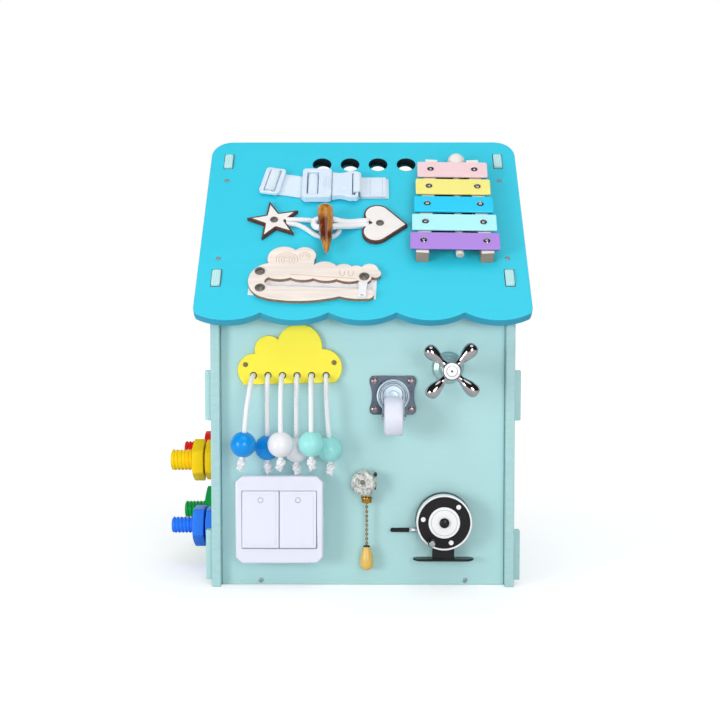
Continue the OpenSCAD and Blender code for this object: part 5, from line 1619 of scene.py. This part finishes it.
class BUSY_OT_charms(Operator):
    """Star, heart and horn toggle with their cords"""

    bl_idname = "busy.charms"
    bl_label = "Star, heart and toggle"

    def execute(self, context):
        for node in ("star", "heart"):
            softened(
                node, "charm_face", 0.3, ROOF_AXIS, border=mm("burnt_line")
            )
        toggle = Piece("toggle_finished", placed("roof", (-38.8, 118.6), 13.4, 2.6))
        taper = points(
            [8.2, 8.6, 8.4, 7.8, 6.9, 5.8, 4.4, 2.8, 1.3],
            [-0.8, -4, -14, -24, -34, -43, -51, -58, -62.4],
        )
        taper = smooth_path(taper, 3)
        section = np.concatenate([[[0, 0], [7.3, 0]], taper, [[0.6, -63.6], [0, -63.9]]])
        toggle.grid(lathe(section, 48, 1), "horn")
        toggle.done("house", "toggle", slot="horn")
        cords = (("loop_cord", LOOP_ROUTE, "loop"), ("toggle_cord", TOGGLE_ROUTE, "toggle_cord"))
        for node, route, size in cords:
            cord = Piece(node + "_finished", on_roof)
            path = even(smooth_path(route), 1.2)
            cord.grid(capsule_rows(path, mm(size) / 2, 20), "cord_yarn")
            cord.done("house", node, slot="white_cord")
        return {"FINISHED"}


def eye_ring(x, y, radius, start, end):
    """Arc round an eye, between two angles in degrees: (x + r cos a, y + 0.9 r sin a)."""
    a = np.radians(np.linspace(start, end, 13))
    return np.stack([x + radius * np.cos(a), y + 0.9 * radius * np.sin(a)], -1)


def crocodile_lines():
    """Engraved lines of the crocodile: rings of its two eyes, its mouth and two nostrils."""
    arcs = ((3, 0, 350), (5.6, -70, 250), (8.2, -40, 215), (10.8, -20, 205))
    lines = [eye_ring(-29.1, 27.2, *arc) for arc in arcs]
    lines += [eye_ring(-11.6, 33, radius, -50, 230) for radius in (2.6, 5.2)]
    lines.append(points([-24, -8, 8, 24, 42], [7.4, 6.8, 5.6, 5.2, 4.4]))
    nostril = points([0, 0.5, 2.6, 4.8, 5.2], [15.5, 9.5, 7.4, 9.5, 15])
    return lines + [nostril + (x, 0) for x in (24.5, 33)]


class BUSY_OT_crocodile(Operator):
    """Plywood crocodile with engraved lines, zip tape, coil and slider"""

    bl_idname = "busy.crocodile"
    bl_label = "Crocodile and zip"

    def execute(self, context):
        softened("crocodile", "bare_ply", 0.6, ROOF_AXIS, 0.3, flat_only=True)
        place = placed("roof", CROCODILE_AT, 0, CROCODILE_TURN)
        lines = Piece("crocodile_lines", place)
        for path in crocodile_lines():
            path = smooth_path(path, 5)
            path = even(np.column_stack([path, np.full(len(path), 5.9)]), 0.8)
            # Flat strokes, as wide as one tube and as high as a thinner one
            wide, thin = tube(path, 0.33, 8), tube(path, 0.08, 8)
            lines.grid(wide * (1, 1, 0) + thin * (0, 0, 1), "burnt_line", caps=True)
        lines.done("house", slot="raw_plywood")
        tape = Piece("zip_tape_finished", place)
        middle, teeth = -3.9, 68
        path = even([[-64, 0.46], [61.5, 0.46]], 1.2)
        tape.grid(ribbon(path, 26, 0.9) + (0, middle, 0), "zip_cloth", caps=True)
        # Two springs along the zip, a squeezed circle across it: 0.95 cos t wide, 0.45 sin t high
        turns = np.linspace(0, teeth * FULL, teeth * 9)
        along = np.linspace(-46, 58, len(turns))
        for side in (-1, 1):
            across = middle + side * (0.85 + 0.95 * np.cos(turns))
            coil = points(along, across, 1.45 + 0.45 * np.sin(turns))
            tape.grid(tube(coil, 0.3, 5), "zip_teeth", caps=True)
        tape.done("house", "zip_tape", slot="zip_tape")
        softened("zip_slider", "zip_enamel", 0.35, ROOF_AXIS)
        return {"FINISHED"}


class BUSY_OT_xylophone(Operator):
    """Rails, five enamelled bars and a mallet, with painted shade under the bars and a painted shadow sheet
    on the roof between the rails
    """

    bl_idname = "busy.xylophone"
    bl_label = "Xylophone"

    def execute(self, context):
        softened("xylophone_rails", "rail_wood", 0.7, ROOF_AXIS)
        place = placed("roof", BARS_AT, 0, BARS_TURN)
        bars = Piece("xylophone_bars_finished")
        for i in range(5):
            at = shifted(place, (0, -BAR_STEP * i, 0))
            long = 73.5 + 4 * i
            top, under = rectangle(long, 22.3, 1.6), rectangle(long - 1.2, 21.4, 1.4)
            bars.slab(top, 15.3, 17, 0.6, f"bar_{i + 1}", place=at)
            # Near-black slab under each bar: painted shade of its underside
            bars.slab(under, 14.02, 15.4, 0.1, "bar_under", place=at)
        # Dark sheet on the roof between the rails, under the bars: a painted shadow
        below = points([-15.5, -23.5, 23.5, 15.5], [12, -100, -100, 12])
        bars.slab(below, 0.02, 0.25, 0.05, "bar_under", place=place)
        bars.done("house", "xylophone_bars", slot="bar_enamel")
        ball, stick = 9.2, 4
        turn = np.linspace(0, math.pi - math.asin(stick / ball), 28)
        section = np.stack([ball * np.sin(turn), ball * np.cos(turn)], -1)
        section = np.concatenate([section, [[stick, -137], [3.4, -137.6]]])
        tip = points([3.4, 2, 0], [-137.6, -138, -138])
        at = (4.9, 19.42, 0)
        mallet = Piece("mallet_finished", placed("roof", BARS_AT, 9.4, BARS_TURN))
        mallet.grid(lathe(section, 40, 1, at), "mallet_wood")
        mallet.grid(lathe(tip, 40, 1, at), "mallet_end")
        mallet.done("mallet", "mallet", slot="mallet_wood")
        return {"FINISHED"}


# ---------------------------------------------------------------- toy bolts


# Sides and corner radius of each bolt's nut, radius of its thread and its place on the left wall
BOLTS = {
    "yellow": (6, 22.7, 11.2, (68, 115.5)),
    "red": (48, 20, 8.6, (-22, 115.5)),
    "green": (3, 27, 9.7, (-22, 46)),
    "blue": (5, 23.4, 8.7, (68, 46)),
}
# Thickness of a head and of a nut, length of a bolt, the crown of their faces, and a head's share
# of its nut's width
HEAD, NUT, REACH, DOME, HEAD_SHARE = 16.8, 13.4, 52.5, 0.0045, 0.95
# Number of points round a head or a nut, and round a thread
SPOKES, THREAD_SPOKES = 120, 56


def prism_rows(sides, corner, thick, inner):
    """Side and outer face of a polygon plate with rounded edges: z = thick - DOME r^2 on the face.

    More than twelve sides make a round plate. The face runs in to the inner radius.
    """
    a = circle(SPOKES)
    start = -math.pi / 2 if sides == 5 else math.pi / 2
    edge = np.full(SPOKES, corner) if sides > 12 else polygon_radius(a, sides, corner, start)
    low = np.array([0.0, 0.25, 0.8])[:, None] + 0 * edge
    top = thick - DOME * edge**2
    level = np.array([*low, top - 0.9, top - 0.2, top + 0.03])
    inset = np.array([0.8, 0.2, 0, 0, 0.25, 0.9])[:, None]
    share = np.linspace(0.25, 1, 4)[:, None]
    face = (edge - 0.9) * (1 - share) + inner * share
    r = np.concatenate([edge - inset, face])
    z = np.concatenate([level, thick - DOME * face**2])
    return np.stack([r * np.cos(a), r * np.sin(a), z], -1)


def flat_rings(radii, levels, spokes=SPOKES):
    """Rows of a grid: a circle of each radius at its level."""
    a = circle(spokes)
    r, z = np.array(radii, float)[:, None], np.array(levels, float)[:, None]
    return np.stack([r * np.cos(a), r * np.sin(a), z + 0 * a], -1)


def thread_rows(radius, pitch, depth):
    """Coarse round thread: r = radius - depth (0.5 - 0.5 cos(2 pi z / pitch - a))^0.8.

    The groove fades out towards the head and the tip. The rows start and end on the axis.
    """
    z = np.linspace(HEAD - 1, REACH - 2, 100)[:, None]
    a = circle(THREAD_SPOKES)[None]
    groove = (0.5 - 0.5 * np.cos(FULL * z / pitch - a)) ** 0.8
    fade = np.clip((z - HEAD) / 1.5, 0, 1) * np.clip((REACH - 1.4 - z) / 1.2, 0, 1)
    r = radius - depth * groove * fade
    rows = np.stack([r * np.cos(a), r * np.sin(a), np.broadcast_to(z, r.shape)], -1)
    root = flat_rings([0], [HEAD - 1], THREAD_SPOKES)
    tip = flat_rings(
        [radius - 0.5, radius - 1.4, radius - 2.4, 0],
        [REACH - 1.2, REACH - 0.4, REACH, REACH],
        THREAD_SPOKES,
    )
    return np.concatenate([root, rows, tip])


class BUSY_OT_toy_bolts(Operator):
    """Four chunky toy bolts with coarse round threads, and their nuts"""

    bl_idname = "busy.toy_bolts"
    bl_label = "Toy bolts and nuts"

    def execute(self, context):
        pitch, depth = mm("thread_pitch"), mm("thread_depth")
        bolts = Piece("toy_bolts_finished")
        for name, (sides, corner, thread, at) in BOLTS.items():
            place = placed("left", at)
            head = prism_rows(sides, HEAD_SHARE * corner, HEAD, 0)
            bolts.grid(np.concatenate([flat_rings([0], [0]), head]), "toy_" + name, place=place)
            bolts.grid(thread_rows(thread, pitch, depth), "toy_" + name, place=place)
            bore = thread + 0.08
            outside = prism_rows(sides, corner, NUT, bore + 1)
            inside = flat_rings(
                [bore + 0.1, bore, bore, bore + 0.1, bore + 1], [NUT - 1.4, NUT - 2, 1.4, 0.9, 0]
            )
            nut = Piece(f"nut_{name}_finished", placed("left", at, HEAD + 0.2))
            nut.grid(np.concatenate([outside, inside]), "toy_" + name, wrap=(True, True))
            nut.done(f"nut_{name}", f"nut_{name}", slot=f"{name}_plastic")
        bolts.done("house", "toy_bolts", slot="bolt_plastic")
        return {"FINISHED"}


# ---------------------------------------------------------------- panel and start


class BUSY_PT_panel(Panel):
    """Buttons for the pieces, and their sizes and colours."""

    bl_label = "Busy Board"
    bl_idname = "BUSY_PT_panel"
    bl_space_type = "VIEW_3D"
    bl_region_type = "UI"
    bl_category = "Busy Board"

    def draw(self, context):
        """Lists the operators, then the sizes and the colours."""
        for step in STEPS:
            self.layout.operator(step.bl_idname)
        for group in (context.scene.busy_sizes, context.scene.busy_colours):
            box = self.layout.box()
            for name in group.__annotations__:
                box.prop(group, name)


STEPS = (
    BUSY_OT_stage,
    BUSY_OT_cords,
    BUSY_OT_boards,
    BUSY_OT_screws,
    BUSY_OT_cloud,
    BUSY_OT_switch,
    BUSY_OT_caster,
    BUSY_OT_tap,
    BUSY_OT_pull_switch,
    BUSY_OT_reel,
    BUSY_OT_strap,
    BUSY_OT_charms,
    BUSY_OT_crocodile,
    BUSY_OT_xylophone,
    BUSY_OT_toy_bolts,
)
CLASSES = (BusyBoardSizes, BusyBoardColours, *STEPS, BUSY_PT_panel)


def register():
    """Registers the classes and hangs the settings on the scene."""
    for cls in CLASSES:
        bpy.utils.register_class(cls)
    bpy.types.Scene.busy_sizes = PointerProperty(type=BusyBoardSizes)
    bpy.types.Scene.busy_colours = PointerProperty(type=BusyBoardColours)


def unregister():
    """Takes the settings and classes away again."""
    del bpy.types.Scene.busy_colours
    del bpy.types.Scene.busy_sizes
    for cls in reversed(CLASSES):
        bpy.utils.unregister_class(cls)


def main():
    """Registers the classes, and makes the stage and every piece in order."""
    register()
    for step in STEPS:
        group, name = step.bl_idname.split(".")
        getattr(getattr(bpy.ops, group), name)()


if __name__ == "__main__":
    main()
